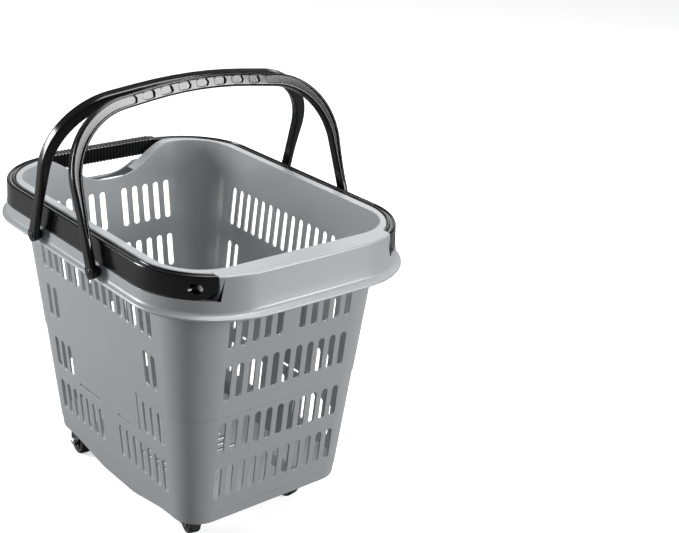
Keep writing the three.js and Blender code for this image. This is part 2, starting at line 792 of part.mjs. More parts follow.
function fork() {
  const { trail, cheek, cheekGap, footR, nose, tail, bridgeZ, bridgeThick, neckTop } = caster;
  const outer = cheekGap + cheek;
  const top = bridgeZ + bridgeThick;
  const outline = new THREE.Shape();
  outline.moveTo(-trail - footR, wheelR);
  outline.absarc(-trail, wheelR, footR, Math.PI, 2 * Math.PI);
  outline.lineTo(nose, top - 6).lineTo(nose, top).lineTo(-trail - tail, top);
  const sides = [
    acrossY(outline, cheekGap, outer),
    acrossY(outline, -outer, -cheekGap),
  ];
  const bridge = box(-trail - tail, nose, -outer, outer, bridgeZ, top);
  const neck = cylinder("z", caster.neckR, top - 1, neckTop, [0, 0]);
  return cutAll(joinAll([...sides, bridge, neck]), [
    cylinder("z", caster.kingR + runGap, bridgeZ - 5, neckTop + 5, [0, 0]),
    cylinder("y", caster.axleR + gap, -outer - 1, outer + 1, [-trail, wheelR], 12),
  ]);
}

function hub() {
  const half = caster.hubWide / 2;
  const bore = caster.axleR + gap;
  const { hubR, hubBossR, hubDish } = caster;
  return turned([
    [bore, -half],
    [hubBossR, -half],
    [hubBossR, -half + hubDish],
    [hubR - 2, -half + hubDish],
    [hubR - 1.4, -half + 1],
    [hubR, -half + 1],
    [hubR, half - 1],
    [hubR - 1.4, half - 1],
    [hubR - 2, half - hubDish],
    [hubBossR, half - hubDish],
    [hubBossR, half],
    [bore, half],
  ]);
}

function tyre() {
  const half = caster.tyreWide / 2;
  const inner = caster.hubR + gap;
  const r = caster.wheelR;
  return turned([
    [inner, -half + 0.6],
    [r - 3.2, -half],
    [r - 1.2, -half + 1.4],
    [r, -half + 4],
    [r, half - 4],
    [r - 1.2, half - 1.4],
    [r - 3.2, half],
    [inner, half - 0.6],
  ]);
}

function axleBolt() {
  const face = caster.cheekGap + caster.cheek + gap;
  const shank = cylinder("y", caster.axleR, -face, face + caster.nutTall + 0.6, [0, 0], 16);
  const r = caster.axleHead;
  const dome = [[0, 2.8], [r - 2.4, 2.6], [r - 0.6, 1.6], [r, 0], [0, 0]];
  const profile = dome.map(([out, tall]) => [out, -face - tall]);
  const head = new THREE.LatheGeometry(profile.map(([r, y]) => new THREE.Vector2(r, y)), 20);
  return shank.add(solid(head));
}

function axleNut() {
  const face = caster.cheekGap + caster.cheek + gap;
  const body = cylinder("y", caster.axleHead, face, face + caster.nutTall, [0, 0], 6);
  return body.subtract(cylinder("y", caster.axleR + gap, face - 1, face + 4, [0, 0], 16));
}

function plateScrew() {
  const seat = caster.plateTop - caster.plateThick - gap;
  const tip = wells.ceilingZ + tub.wall - 0.4;
  const shank = cylinder("z", caster.screwR, seat - 0.5, tip, [0, 0], 8);
  return shank.add(cylinder("z", caster.screwHead, seat - caster.screwHeadTall, seat, [0, 0], 10));
}

// ---------------------------------------------------------------- assembly

const trolley = new THREE.Group();

function place(name, made, look, parent = trolley) {
  const mesh = new THREE.Mesh(made.isBufferGeometry ? made : geometryOf(made), look);
  mesh.name = name;
  parent.add(mesh);
  return mesh;
}

place("basket_tub", basketTub(), greyPlastic);
place("pull_handle", pullHandle(), blackPlastic);
place("pull_pivot_screw_near", pullScrew(-1), nickel);
place("pull_pivot_screw_far", pullScrew(1), nickel);

const bow = carryBow();
for (const [name, end] of [["front", 1], ["rear", -1]]) {
  const holder = new THREE.Group();
  holder.position.set(end * carry.axisX, 0, carry.axisZ);
  holder.rotation.y = -end * carryLean;
  trolley.add(holder);
  place(`carry_handle_${name}`, bow, blackPlastic, holder);
  place(`carry_pin_${name}_near`, pivotPin(end, -1), nickel);
  place(`carry_pin_${name}_far`, pivotPin(end, 1), nickel);
}

const casterPieces = {
  plate: [geometryOf(mountPlate()), blackNylon],
  kingpin: [geometryOf(kingpin()), nickel],
};
const forkPieces = { fork: [geometryOf(fork()), blackNylon] };
const axlePieces = {
  hub: [geometryOf(hub()), blackNylon],
  tyre: [geometryOf(tyre()), rubber],
  axle_bolt: [geometryOf(axleBolt()), nickel],
  axle_nut: [geometryOf(axleNut()), nickel],
};

for (const { name, x, y, turn } of casters) {
  const fixed = new THREE.Group();
  fixed.position.set(x, y, 0);
  const swivel = new THREE.Group();
  swivel.rotation.z = THREE.MathUtils.degToRad(turn);
  const axle = new THREE.Group();
  axle.position.set(-caster.trail, 0, caster.wheelR);
  trolley.add(fixed);
  fixed.add(swivel);
  swivel.add(axle);
  for (const [group, pieces] of [[fixed, casterPieces], [swivel, forkPieces], [axle, axlePieces]])
    for (const [piece, [geometry, look]] of Object.entries(pieces))
      place(`caster_${name}_${piece}`, geometry, look, group);
}

const screwGeometry = geometryOf(plateScrew());
for (const { name, x, y } of casterScrewPlaces()) {
  const mesh = place(`screw_${name}`, screwGeometry, nickel);
  mesh.position.set(x, y, 0);
}

export default trolley;
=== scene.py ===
"""Rolling basket trolley: the finished look of every piece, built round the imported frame."""

import json
import math

import bmesh
import bpy
from bpy.props import FloatProperty, FloatVectorProperty, IntProperty, PointerProperty
from mathutils import Matrix, Vector


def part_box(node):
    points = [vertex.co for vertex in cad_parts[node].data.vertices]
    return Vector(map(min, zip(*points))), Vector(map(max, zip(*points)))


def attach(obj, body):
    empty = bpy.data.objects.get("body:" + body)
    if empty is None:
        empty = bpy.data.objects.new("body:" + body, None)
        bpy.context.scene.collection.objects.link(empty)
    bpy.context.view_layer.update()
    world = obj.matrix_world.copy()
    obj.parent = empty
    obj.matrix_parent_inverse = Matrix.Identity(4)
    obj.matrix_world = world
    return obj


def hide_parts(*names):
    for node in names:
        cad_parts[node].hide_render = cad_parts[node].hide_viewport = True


bl_info = {
    "name": "Rolling Basket Trolley",
    "version": (1, 0, 0),
    "blender": (4, 5, 0),
    "location": "3D View > Sidebar > Trolley",
    "description": "Builds a slotted rolling basket with its handles, casters and studio",
    "category": "Add Mesh",
}

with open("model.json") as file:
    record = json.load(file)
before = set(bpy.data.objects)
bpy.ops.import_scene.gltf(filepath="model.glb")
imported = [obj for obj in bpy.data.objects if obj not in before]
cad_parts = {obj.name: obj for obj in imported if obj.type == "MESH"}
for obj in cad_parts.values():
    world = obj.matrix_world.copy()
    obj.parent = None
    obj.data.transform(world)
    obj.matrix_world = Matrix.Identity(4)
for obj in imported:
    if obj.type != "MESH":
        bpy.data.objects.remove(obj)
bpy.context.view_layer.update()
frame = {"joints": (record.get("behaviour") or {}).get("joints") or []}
NEAR, FAR = -1, 1  # the two long sides
FRONT, REAR = 1, -1  # the two short sides: the pull handle pivots at the front
CASTERS = ("front_near", "front_far", "rear_near", "rear_far")
MM = 0.001
CREASE = math.radians(40)  # an edge sharper than this stays sharp

# the basket's moulding
RIM_TALL = 47.5 * MM  # from the lip's underside to the rim's top
RIM_CORNER = 93 * MM
LIP_OUT_X = 12.6 * MM  # how far the lip stands out past the rim's top edge
LIP_OUT_Y = 6.2 * MM
LIP_THICK = 3 * MM
SKIRT = 2.6 * MM  # thickness of the rim's skirt
SKIRT_SLOPE = 0.1
WALL_TOP_DROP = 2 * MM  # the wall's sizes below are those at this distance under the lip
WALL_IN_X = 29 * MM  # from the rim's top edge in to the wall
WALL_IN_Y = 23.4 * MM
WALL_DRAFT_X = 0.122  # how far the wall leans in for each unit of height
WALL_DRAFT_Y = 0.0975
WALL_CORNER_MM = 34  # corner radius at the belly, and what it gains up to the lip
WALL_CORNER_GAIN_MM = 22
STEP_DROP = 147 * MM  # from the lip down to the wall's upper step line
BASE_RISE = 29 * MM  # from the belly up to its lower step line
STEP_HALF = 0.9 * MM  # half the height of each step's slope
STEP_IN = 0.9 * MM  # how far in the wall stands below the upper line
BASE_IN = 1.6 * MM  # how far in it stands below the lower line
END_RISE = 15 * MM  # from the belly up to the underside at the two ends
CEILING_GAP = 0.3 * MM  # between a caster's plate and its housing

# the pull handle in its channel
CHANNEL_DEPTH_GAP = 0.8 * MM  # under the band
CHANNEL_CLEAR = 0.5 * MM  # behind the band
BLOCK_IN = 51.8 * MM  # from the rim's long sides in to the front block's ends
BAND_END_IN = 51.5 * MM  # the same for the ends of the band

# fastenings
BORE = 3.3 * MM
SHANK = 3 * MM


def length(name, description, default_mm, low=0.0, high=1000.0):
    """A length property in metres, given in millimetres."""
    return FloatProperty(
        name=name,
        description=description,
        default=default_mm * MM,
        min=low * MM,
        max=high * MM,
        unit="LENGTH",
        subtype="DISTANCE",
        precision=4,
    )


def colour(name, description, default):
    """A linear colour property."""
    return FloatVectorProperty(
        name=name, description=description, default=default, size=3, min=0, max=1, subtype="COLOR"
    )


# ------------------------------------------------------------------ sizes


class TrolleyBasketSizes(bpy.types.PropertyGroup):
    """Sizes of the basket's moulding"""

    rim_round: length("Rim edge", "Radius of the rim's top outside edge", 2.2)
    wall: length("Wall", "Thickness of the basket wall", 2.6)
    edge: length("Edge softness", "Rounding of every moulded edge", 0.6)
    slot_width: length("Slot width", "Width of the wall slots", 8.4)
    slot_pitch: length("Slot pitch", "Distance from slot to slot", 16.3)
    bow: length("Bow", "How far the short sides of the rim swell outward", 3.8)


class TrolleyHandleSizes(bpy.types.PropertyGroup):
    """Sizes of the pull handle and the carry handles"""

    band: length("Band", "Thickness of the pull handle's band", 10)
    rib_pitch: length("Rib pitch", "Distance between ribs on the pull handle's grip", 4.8)
    rib_tall: length("Rib height", "How far each grip rib stands out", 1.3)
    pocket_deep: length("Pocket depth", "Depth of the pockets in the carry handles", 2.4)
    pocket_wall: length("Pocket wall", "Wall left round the pockets in the carry handles", 3.2)
    windows: IntProperty(name="Windows", description="Short pockets along each grip", default=7, min=2)


class TrolleyFinishes(bpy.types.PropertyGroup):
    """Colours of the materials"""

    basket: colour("Basket", "Grey of the moulded basket", (0.235, 0.247, 0.256))
    handle: colour("Handles", "Black of the glossy handles", (0.0035, 0.0035, 0.0040))
    nylon: colour("Casters", "Black of the caster mouldings", (0.013, 0.013, 0.014))
    tyre: colour("Tyres", "Black of the tyre rubber", (0.011, 0.011, 0.011))
    metal: colour("Screws", "Bright plated metal", (0.72, 0.72, 0.73))
    floor: colour("Floor", "Pale studio floor", (0.90, 0.90, 0.90))


class TrolleyStage(bpy.types.PropertyGroup):
    """Where the camera stands"""

    azimuth: FloatProperty(
        name="Azimuth",
        description="Direction the camera looks from, from -Y towards +X",
        default=math.radians(49.8),
        subtype="ANGLE",
    )
    elevation: FloatProperty(
        name="Elevation",
        description="Height angle the camera looks down from",
        default=math.radians(22.35),
        subtype="ANGLE",
    )
    roll: FloatProperty(
        name="Roll", description="Tilt of the camera", default=math.radians(2.83), subtype="ANGLE"
    )
    distance: length("Distance", "From the camera to the middle of the basket", 1642.9, high=9000)
    aside: length("Aside", "How far the basket stands left of the picture's middle", 182.1)
    below: length("Below", "How far the basket's middle stands below the picture's middle", 99.3)
    middle: length("Middle height", "Height of the basket's middle", 193)
    lens: FloatProperty(name="Lens", description="Focal length in mm", default=68.93, min=1)


# ------------------------------------------------------------------ mesh tools


def new_object(name, mesh):
    made = bpy.data.objects.new(name, mesh)
    bpy.context.scene.collection.objects.link(made)
    return made


def object_from(name, verts, faces):
    """A mesh object with no doubled points and its faces turned outward."""
    mesh = bpy.data.meshes.new(name)
    mesh.from_pydata(verts, [], faces)
    mesh.validate()
    bm = bmesh.new()
    bm.from_mesh(mesh)
    bmesh.ops.remove_doubles(bm, verts=bm.verts, dist=1e-7)
    bmesh.ops.recalc_face_normals(bm, faces=bm.faces)
    bm.to_mesh(mesh)
    bm.free()
    return new_object(name, mesh)


def apply_modifiers(obj):
    """Replaces the mesh with what its modifiers make of it."""
    graph = bpy.context.evaluated_depsgraph_get()
    mesh = bpy.data.meshes.new_from_object(obj.evaluated_get(graph))
    mesh.name = obj.name
    obj.modifiers.clear()
    obj.data = mesh
    return obj


def carve(base, cutters, operation="DIFFERENCE"):
    """Cuts or joins the other objects into the base, and removes them."""
    for cutter in cutters:
        step = base.modifiers.new("carve", "BOOLEAN")
        step.solver = "EXACT"
        step.operation = operation
        step.object = cutter
        apply_modifiers(base)
        bpy.data.objects.remove(cutter)
    return base


def join(name, objects):
    """Several objects as one, with their shapes kept apart."""
    bm = bmesh.new()
    for obj in objects:
        bm.from_mesh(obj.data)
        bpy.data.objects.remove(obj)
    mesh = bpy.data.meshes.new(name)
    bm.to_mesh(mesh)
    bm.free()
    return new_object(name, mesh)


def soften(obj, width, segments=2, angle=32):
    """Rounds the sharp edges by `width`, or none if it is 0, and smooths the rest."""
    merge = 0.02 * MM
    bm = bmesh.new()
    bm.from_mesh(obj.data)
    bmesh.ops.remove_doubles(bm, verts=bm.verts, dist=merge)
    bmesh.ops.dissolve_degenerate(bm, edges=bm.edges, dist=merge)
    bm.to_mesh(obj.data)
    bm.free()
    if width:
        bevel = obj.modifiers.new("edges", "BEVEL")
        bevel.width = width
        bevel.segments = segments
        bevel.limit_method = "ANGLE"
        bevel.angle_limit = math.radians(angle)
        bevel.use_clamp_overlap = False
        apply_modifiers(obj)
    obj.data.shade_smooth()
    obj.data.set_sharp_from_angle(angle=CREASE)
    weigh = obj.modifiers.new("normals", "WEIGHTED_NORMAL")
    weigh.keep_sharp = True
    weigh.weight = 80
    return apply_modifiers(obj)


def box(low, high):
    """A block between two corners."""
    (x0, y0, z0), (x1, y1, z1) = low, high
    verts = [(x, y, z) for x in (x0, x1) for y in (y0, y1) for z in (z0, z1)]
    faces = [(0, 1, 3, 2), (4, 6, 7, 5), (0, 4, 5, 1), (2, 3, 7, 6), (0, 2, 6, 4), (1, 5, 7, 3)]
    return object_from("box", verts, faces)


def turned(name, profile, matrix=None, segments=64):
    """A profile of (radius, along), closed or ending on the axis, turned about Z, then placed."""
    verts, faces = [], []
    count = len(profile)
    for i in range(segments):
        angle = 2 * math.pi * i / segments
        for r, z in profile:
            verts.append((r * math.cos(angle), r * math.sin(angle), z))
    for i in range(segments):
        j = (i + 1) % segments
        for k in range(count):
            m = (k + 1) % count
            faces.append((i * count + k, j * count + k, j * count + m, i * count + m))
    made = object_from(name, verts, faces)
    bm = bmesh.new()
    bm.from_mesh(made.data)
    bmesh.ops.remove_doubles(bm, verts=bm.verts, dist=1e-6)
    bmesh.ops.dissolve_degenerate(bm, edges=bm.edges, dist=1e-6)
    bmesh.ops.recalc_face_normals(bm, faces=bm.faces)
    if matrix:
        bm.transform(matrix)
    bm.to_mesh(made.data)
    bm.free()
    return made


def rounded_profile(points, radius, steps=4):
    """A closed outline with every corner rounded by up to `radius`."""
    out = []
    count = len(points)
    for i, point in enumerate(points):
        here = Vector(point)
        before = Vector(points[i - 1]) - here
        after = Vector(points[(i + 1) % count]) - here
        cut = min(radius, before.length * 0.45, after.length * 0.45)
        start = here + before.normalized() * cut
        end = here + after.normalized() * cut
        for k in range(steps + 1):
            t = k / steps
            out.append(tuple(start * (1 - t) ** 2 + here * 2 * t * (1 - t) + end * t**2))
    return out


def prism(name, outline, low, high, matrix=None):
    """An outline of (x, y) stood up from low to high, then placed."""
    count = len(outline)
    verts = [(x, y, low) for x, y in outline] + [(x, y, high) for x, y in outline]
    faces = [tuple(range(count)), tuple(range(count, 2 * count))]
    faces += [(i, (i + 1) % count, count + (i + 1) % count, count + i) for i in range(count)]
    if matrix:
        verts = [tuple(matrix @ Vector(vert)) for vert in verts]
    return object_from(name, verts, faces)


# outline (x, y) becomes (x, z) with its depth along +Y, or (y, z) with its depth along +X
ALONG_Y = Matrix(((1, 0, 0, 0), (0, 0, 1, 0), (0, 1, 0, 0), (0, 0, 0, 1)))
ALONG_X = Matrix(((0, 0, 1, 0), (1, 0, 0, 0), (0, 1, 0, 0), (0, 0, 0, 1)))


def rod(axis, radius, start, end, centre, segments=48):
    """A cylinder along x, y or z whose other two coordinates are `centre`."""
    circle = [
        (
            centre[0] + radius * math.cos(2 * math.pi * i / segments),
            centre[1] + radius * math.sin(2 * math.pi * i / segments),
        )
        for i in range(segments)
    ]
    matrix = {"x": ALONG_X, "y": ALONG_Y, "z": None}[axis]
    return prism("rod", circle, min(start, end), max(start, end), matrix)


def sweep(name, frames, sections):
    """Closed sections of (out, side) carried along frames of (at, out, side)."""
    count = len(sections[0])
    verts, faces = [], []
    for (at, out, side), section in zip(frames, sections):
        verts += [tuple(at + out * a + side * b) for a, b in section]
    for i in range(len(frames) - 1):
        for k in range(count):
            m = (k + 1) % count
            a, b = i * count, (i + 1) * count
            faces.append((a + k, a + m, b + m, b + k))
    faces.append(tuple(range(count)))
    faces.append(tuple(range(len(verts) - count, len(verts))))
    return object_from(name, verts, faces)


# ------------------------------------------------------------------ the plan outline


def plan_stations(corner_steps=16, side_steps=8):
    """Stations round a rounded rectangle, with extra ones along the two short sides."""
    stations = []
    for corner in range(4):
        sx = 1 if corner in (0, 3) else -1
        sy = 1 if corner < 2 else -1
        for i in range(corner_steps + 1):
            stations.append((sx, sy, (corner + i / corner_steps) * math.pi / 2))
        if corner in (1, 3):
            for i in range(1, side_steps):
                along = 1 - 2 * i / side_steps
                stations.append((sx, along if sx < 0 else -along, None))
    return stations


STATIONS = plan_stations()


def plan_point(station, half_x, half_y, radius, bow=0.0):
    """Where a station stands on an outline of the given half sizes, corner and end bow."""
    sx, sy, angle = station
    if angle is None:
        x, y = sx * half_x, sy * (half_y - radius)
    else:
        x = sx * (half_x - radius) + radius * math.cos(angle)
        y = sy * (half_y - radius) + radius * math.sin(angle)
    return x + math.copysign(bow * (1 - (y / half_y) ** 2), x), y


def loft(name, levels):
    """A closed solid through levels of (z, half_x, half_y, radius, bow)."""
    count = len(STATIONS)
    verts, faces = [], []
    for z, half_x, half_y, radius, bow in levels:
        for station in STATIONS:
            verts.append((*plan_point(station, half_x, half_y, radius, bow), z))
    for i in range(len(levels) - 1):
        for k in range(count):
            m = (k + 1) % count
            a, b = i * count, (i + 1) * count
            faces.append((a + k, a + m, b + m, b + k))
    faces.append(tuple(range(count)))
    faces.append(tuple(range(len(verts) - count, len(verts))))
    return object_from(name, verts, faces)


class Plan:
    """The basket's main heights and half sizes, read from the frame."""

    def __init__(self):
        low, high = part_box("basket_tub")
        band_low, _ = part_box("pull_handle")
        self.sizes = bpy.context.scene.trolley_basket
        self.bow = self.sizes.bow
        self.top = high[2]
        self.belly = low[2]
        self.lip = self.top - RIM_TALL
        self.half_x = high[0] - self.bow - LIP_OUT_X
        self.half_y = high[1] - LIP_OUT_Y
        self.corner = RIM_CORNER
        self.band_low = band_low[2]
        self.channel = self.band_low - CHANNEL_DEPTH_GAP
        self.curb = -(bpy.context.scene.trolley_handles.band + CHANNEL_CLEAR)
        self.end = self.belly + END_RISE
        self.base = self.belly + BASE_RISE
        self.step = self.lip - STEP_DROP
        _, plate_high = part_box("caster_front_near_plate")
        self.ceiling = plate_high[2] + CEILING_GAP

    def rim(self, z, out_x, out_y=None):
        """A level of the rim, moved outward from its top edge."""
        out_y = out_x if out_y is None else out_y
        radius = self.corner + (out_x + out_y) / 2
        return z, self.half_x + out_x, self.half_y + out_y, radius, self.bow

    def skirt(self, z):
        """How far the rim's skirt slopes out at a height."""
        return SKIRT_SLOPE * max(self.top - z, 0)

    def wall(self, z, out=0.0):
        """A level of the drafted wall, moved outward."""
        rise = z - (self.lip - WALL_TOP_DROP)
        share = (z - self.belly) / (self.lip - WALL_TOP_DROP - self.belly)
        half_x = self.half_x - WALL_IN_X + WALL_DRAFT_X * rise + out
        half_y = self.half_y - WALL_IN_Y + WALL_DRAFT_Y * rise + out
        corner = (WALL_CORNER_MM + WALL_CORNER_GAIN_MM * share) * MM
        return z, half_x, half_y, corner + out, 0.0

    def inside(self, bottom, top):
        """The inside of the wall, a wall's thickness in from every step of the outside."""
        wall = self.sizes.wall
        levels = [
            self.wall(bottom, -wall - BASE_IN),
            self.wall(self.base - STEP_HALF, -wall - BASE_IN),
            self.wall(self.base + STEP_HALF, -wall - STEP_IN),
            self.wall(self.step - STEP_HALF, -wall - STEP_IN),
            self.wall(self.step + STEP_HALF, -wall),
            self.wall(top, -wall),
        ]
        return loft("inside", levels)


# ------------------------------------------------------------------ basket


def rim_block(plan):
    """The rim's outside: flat top, rounded edge, flared skirt and thin lip."""
    lip_top = plan.lip + LIP_THICK
    # the lip's rounded edge, as (height, out along X, out along Y)
    lip_edge = (
        (plan.lip, 11.6 * MM, 5.2 * MM),
        (plan.lip + 0.4 * MM, 12.3 * MM, 5.9 * MM),
        (plan.lip + 1.2 * MM, LIP_OUT_X, LIP_OUT_Y),
        (lip_top - 0.8 * MM, LIP_OUT_X, LIP_OUT_Y),
        (lip_top, 12.0 * MM, 5.7 * MM),
    )
    levels = [plan.rim(*level) for level in lip_edge]
    # the hollow curve from the lip up into the skirt
    curve_tall, curve_x, curve_y, curve_power, curve_steps = 6 * MM, 11.2 * MM, 4.6 * MM, 2.2, 6
    flare = plan.skirt(lip_top + curve_tall)
    for k in range(1, curve_steps + 1):
        t = k / curve_steps
        left = (1 - t) ** curve_power
        out_x = flare + (curve_x - flare) * left
        levels.append(plan.rim(lip_top + curve_tall * t, out_x, flare / 2 + curve_y * left))
    flare = plan.skirt(plan.band_low)
    levels.append(plan.rim(plan.band_low - MM, flare * 0.8, flare * 0.4))
    r = plan.sizes.rim_round
    round_steps = 5
    for k in range(round_steps + 1):
        a = k / round_steps * math.pi / 2
        levels.append(plan.rim(plan.top - r + r * math.sin(a), -r + r * math.cos(a)))
    return loft("rim_block", levels)


def rim_hollow(plan):
    """The space under the rim, and the deeper pocket behind the front skirt."""
    under_top = plan.channel - SKIRT
    slope = plan.skirt(plan.lip)
    under_levels = [
        plan.rim(plan.lip - MM, slope - SKIRT, slope / 2 - SKIRT),
        plan.rim(under_top, -SKIRT),
    ]
    under = loft("under", under_levels)
    pocket_in = 71.5 * MM
    half = plan.half_y - pocket_in
    pocket = loft("pocket", [plan.rim(under_top - MM, -SKIRT), plan.rim(plan.top - SKIRT, -SKIRT)])
    reach = box((0, -half, plan.lip), (plan.half_x * 2, half, plan.top))
    carve(pocket, [reach], "INTERSECT")
    return [under, pocket]


def handle_channel(plan):
    """The rebate that the pull handle's band lies in, open at the front."""
    floor, inner = plan.channel, plan.curb
    above = plan.top + 10 * MM
    beyond = 30 * MM
    around = loft("around", [plan.rim(floor, beyond), plan.rim(above, beyond)])
    curb_round, steps = 1.6 * MM, 4
    curb_levels = [plan.rim(floor - MM, inner), plan.rim(plan.top - curb_round, inner)]
    for k in range(1, steps + 1):
        a = k / steps * math.pi / 2
        z = plan.top - curb_round + curb_round * math.sin(a)
        curb_levels.append(plan.rim(z, inner - curb_round + curb_round * math.cos(a)))
    curb_levels.append(plan.rim(above + MM, inner - curb_round))
    end = plan.half_y - BLOCK_IN
    block = box((0, -end, floor - MM), (plan.half_x * 2, end, above + MM))
    return carve(around, [loft("curb", curb_levels), block])


def end_relief(plan):
    """Room behind the band's ends for the handle to swing."""
    floor, front = plan.channel, plan.curb + MM
    back = plan.curb - 5.5 * MM
    roof, long = 7.6 * MM, 97 * MM
    high = plan.top - roof
    outside = loft("relief", [plan.rim(floor, front), plan.rim(high, front)])
    inside = loft("relief_inside", [plan.rim(floor - MM, back), plan.rim(high + MM, back)])
    start = plan.half_x - long
    ends = box((start, -plan.half_y, floor), (plan.half_x * 2, plan.half_y, high))
    end = plan.half_y - BLOCK_IN
    block = box((0, -end, floor - MM), (plan.half_x * 2, end, high + MM))
    carve(outside, [inside, block])
    return carve(outside, [ends], "INTERSECT")


def belly(plan, lift):
    """Everything below the floor: flat at mid length, rising smoothly to the ends."""
    end = plan.half_x
    run, flat, rise = 115 * MM, 10 * MM, plan.end - plan.belly
    steps = 24
    curve = []
    for i in range(steps + 1):
        t = i / steps
        height = plan.belly + lift + rise * (0.5 - 0.5 * math.cos(math.pi * t))
        curve.append((flat + t * run, height))
    outline = [(-end, 0), (end, 0), (end, curve[-1][1])]
    outline += [(x, z) for x, z in reversed(curve)]
    outline += [(-x, z) for x, z in curve]
    outline.append((-end, curve[-1][1]))
    wide = plan.half_y * 1.5
    return prism("belly", outline, -wide, wide, ALONG_Y)


def wheel_wells(plan, grow):
    """The four raised housings over the casters, `grow` larger than their hollows."""
    half_long, half_wide = 24.5 * MM, 18.5 * MM
    draft, foot_rise = 9 * MM, 3 * MM
    wells = []
    for name in CASTERS:
        low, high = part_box(f"caster_{name}_plate")
        middle = (Vector(low) + Vector(high)) / 2
        sx, sy = math.copysign(1, middle.x), math.copysign(1, middle.y)
        inner_x = abs(middle.x) - half_long - grow
        inner_y = abs(middle.y) - half_wide - grow
        far = plan.half_x
        foot, top = plan.belly + foot_rise, plan.ceiling + grow
        levels = []
        for z, out in ((0, draft), (foot, draft), (top - 2.5 * MM, 1 * MM), (top - 0.8 * MM, 0)):
            levels.append((z, far + out, far + out, 10 * MM + out, 0.0))
        levels.append((top, far - 1.2 * MM, far - 1.2 * MM, 9 * MM, 0.0))
        well = loft("well", levels)
        well.data.transform(Matrix.Translation((sx * (inner_x + far), sy * (inner_y + far), 0)))
        wells.append(carve(well, [plan.inside(plan.belly - 20 * MM, plan.top)], "INTERSECT"))
    return wells


def slot_outline(x, low, high, width, steps=8):
    """An upright slot with round ends."""
    r = width / 2
    top = [(math.cos(math.pi * i / steps), math.sin(math.pi * i / steps)) for i in range(steps + 1)]
    outline = [(x + r * c, high - r + r * s) for c, s in top]
    return outline + [(x - r * c, low + r - r * s) for c, s in top]


# each row of wall slots, as its bottom and top in millimetres below the lip
SLOT_ROWS_MM = ((56, 4), (124, 79), (197, 154.5), (261, 217))
SIGN_ROW = 2  # the row whose bottom the sign panel's slits stand under
SLIT_DROP = 5 * MM


def slot_rows(plan):
    """The bottom and top height of each row of wall slots."""
    return [(plan.lip - low * MM, plan.lip - high * MM) for low, high in SLOT_ROWS_MM]


def wall_slots(plan):
    """Cutters for the slots of the short walls and of the long walls."""
    sizes = plan.sizes
    width, pitch = sizes.slot_width, sizes.slot_pitch
    rows = slot_rows(plan)
    short, long = [], []
    reach_x, reach_y = plan.half_x * 1.2, plan.half_y * 1.2
    each_side = 5
    for i in range(-each_side, each_side + 1):
        for row, (low, high) in enumerate(rows):
            if row or i:  # the top row has none in the middle
                outline = slot_outline(i * pitch, low, high, width)
                short.append(prism("slot", outline, -reach_x, reach_x, ALONG_X))
    # the long walls' slots each side of the middle: row, how many, and the first, in pitches
    groups = ((0, 8, 0.5), (1, 2, 6.5), (2, 3, 5.5), (3, 7, 1.5))
    for row, count, first in groups:
        for i in range(count):
            for side in (1, -1):
                outline = slot_outline(side * (first + i) * pitch, *rows[row], width)
                long.append(prism("slot", outline, -reach_y, reach_y, ALONG_Y))
    slit_z = rows[SIGN_ROW][0] - SLIT_DROP
    slit_start, slit_end, slit_half = 22 * MM, 71 * MM, 1.8 * MM
    for side in (1, -1):
        near, far = sorted((side * slit_start, side * slit_end))
        low, high = slit_z - slit_half, slit_z + slit_half
        outline = [(near, low), (far, low), (far, high), (near, high)]
        long.append(prism("slit", outline, -reach_y, reach_y, ALONG_Y))
    return [join("short_slots", short), join("long_slots", long)]


def sign_grooves(plan):
    """Shallow upright lines beside the sign slits, on the outside of the long walls."""
    left, right, tall = 72.4 * MM, 73.6 * MM, 53 * MM
    deep, beyond = 1.6 * MM, 9 * MM
    low = slot_rows(plan)[SIGN_ROW][0] - 3 * MM
    middle = low + 26 * MM
    outline = [(left, low), (right, low), (right, low + tall), (left, low + tall)]
    at = plan.wall(middle)[2] - deep
    grooves = []
    for side in (NEAR, FAR):
        groove = prism("groove", outline, *sorted((side * at, side * (at + beyond))), ALONG_Y)
        lean = Matrix.Rotation(-side * math.atan(WALL_DRAFT_Y), 4, "X")
        pivot = Matrix.Translation((0, side * at, middle))
        groove.data.transform(pivot @ lean @ pivot.inverted())
        grooves.append(groove)
    return join("grooves", grooves)


def grip_scoop(plan, half, depth, inner):
    """A dip in the rear rim, under the pull handle's grip, from outside in to `inner`."""
    steps, fullness = 44, 1.35
    top, wider = plan.top + 5 * MM, 6 * MM
    outline = [(half + wider, top), (-half - wider, top)]
    for i in range(steps + 1):
        t = 2 * i / steps - 1
        dip = depth * 0.5 * (1 + math.cos(math.pi * abs(t) ** fullness))
        outline.append((t * half, plan.top - dip))
    return prism("scoop", outline, -plan.half_x * 1.2, -plan.half_x + inner, ALONG_X)


def floor_slots(plan):
    """Two rows of drain slots in the middle of the floor."""
    pitch, width, half_long, row_at, each_side = 12 * MM, 5 * MM, 23 * MM, 34 * MM, 3
    cuts = []
    for row in (-1, 1):
        for i in range(-each_side, each_side + 1):
            middle = row * row_at
            outline = slot_outline(i * pitch, middle - half_long, middle + half_long, width)
            cuts.append(prism("drain", outline, plan.belly - 8 * MM, plan.belly + 12 * MM))
    return join("floor_slots", cuts)


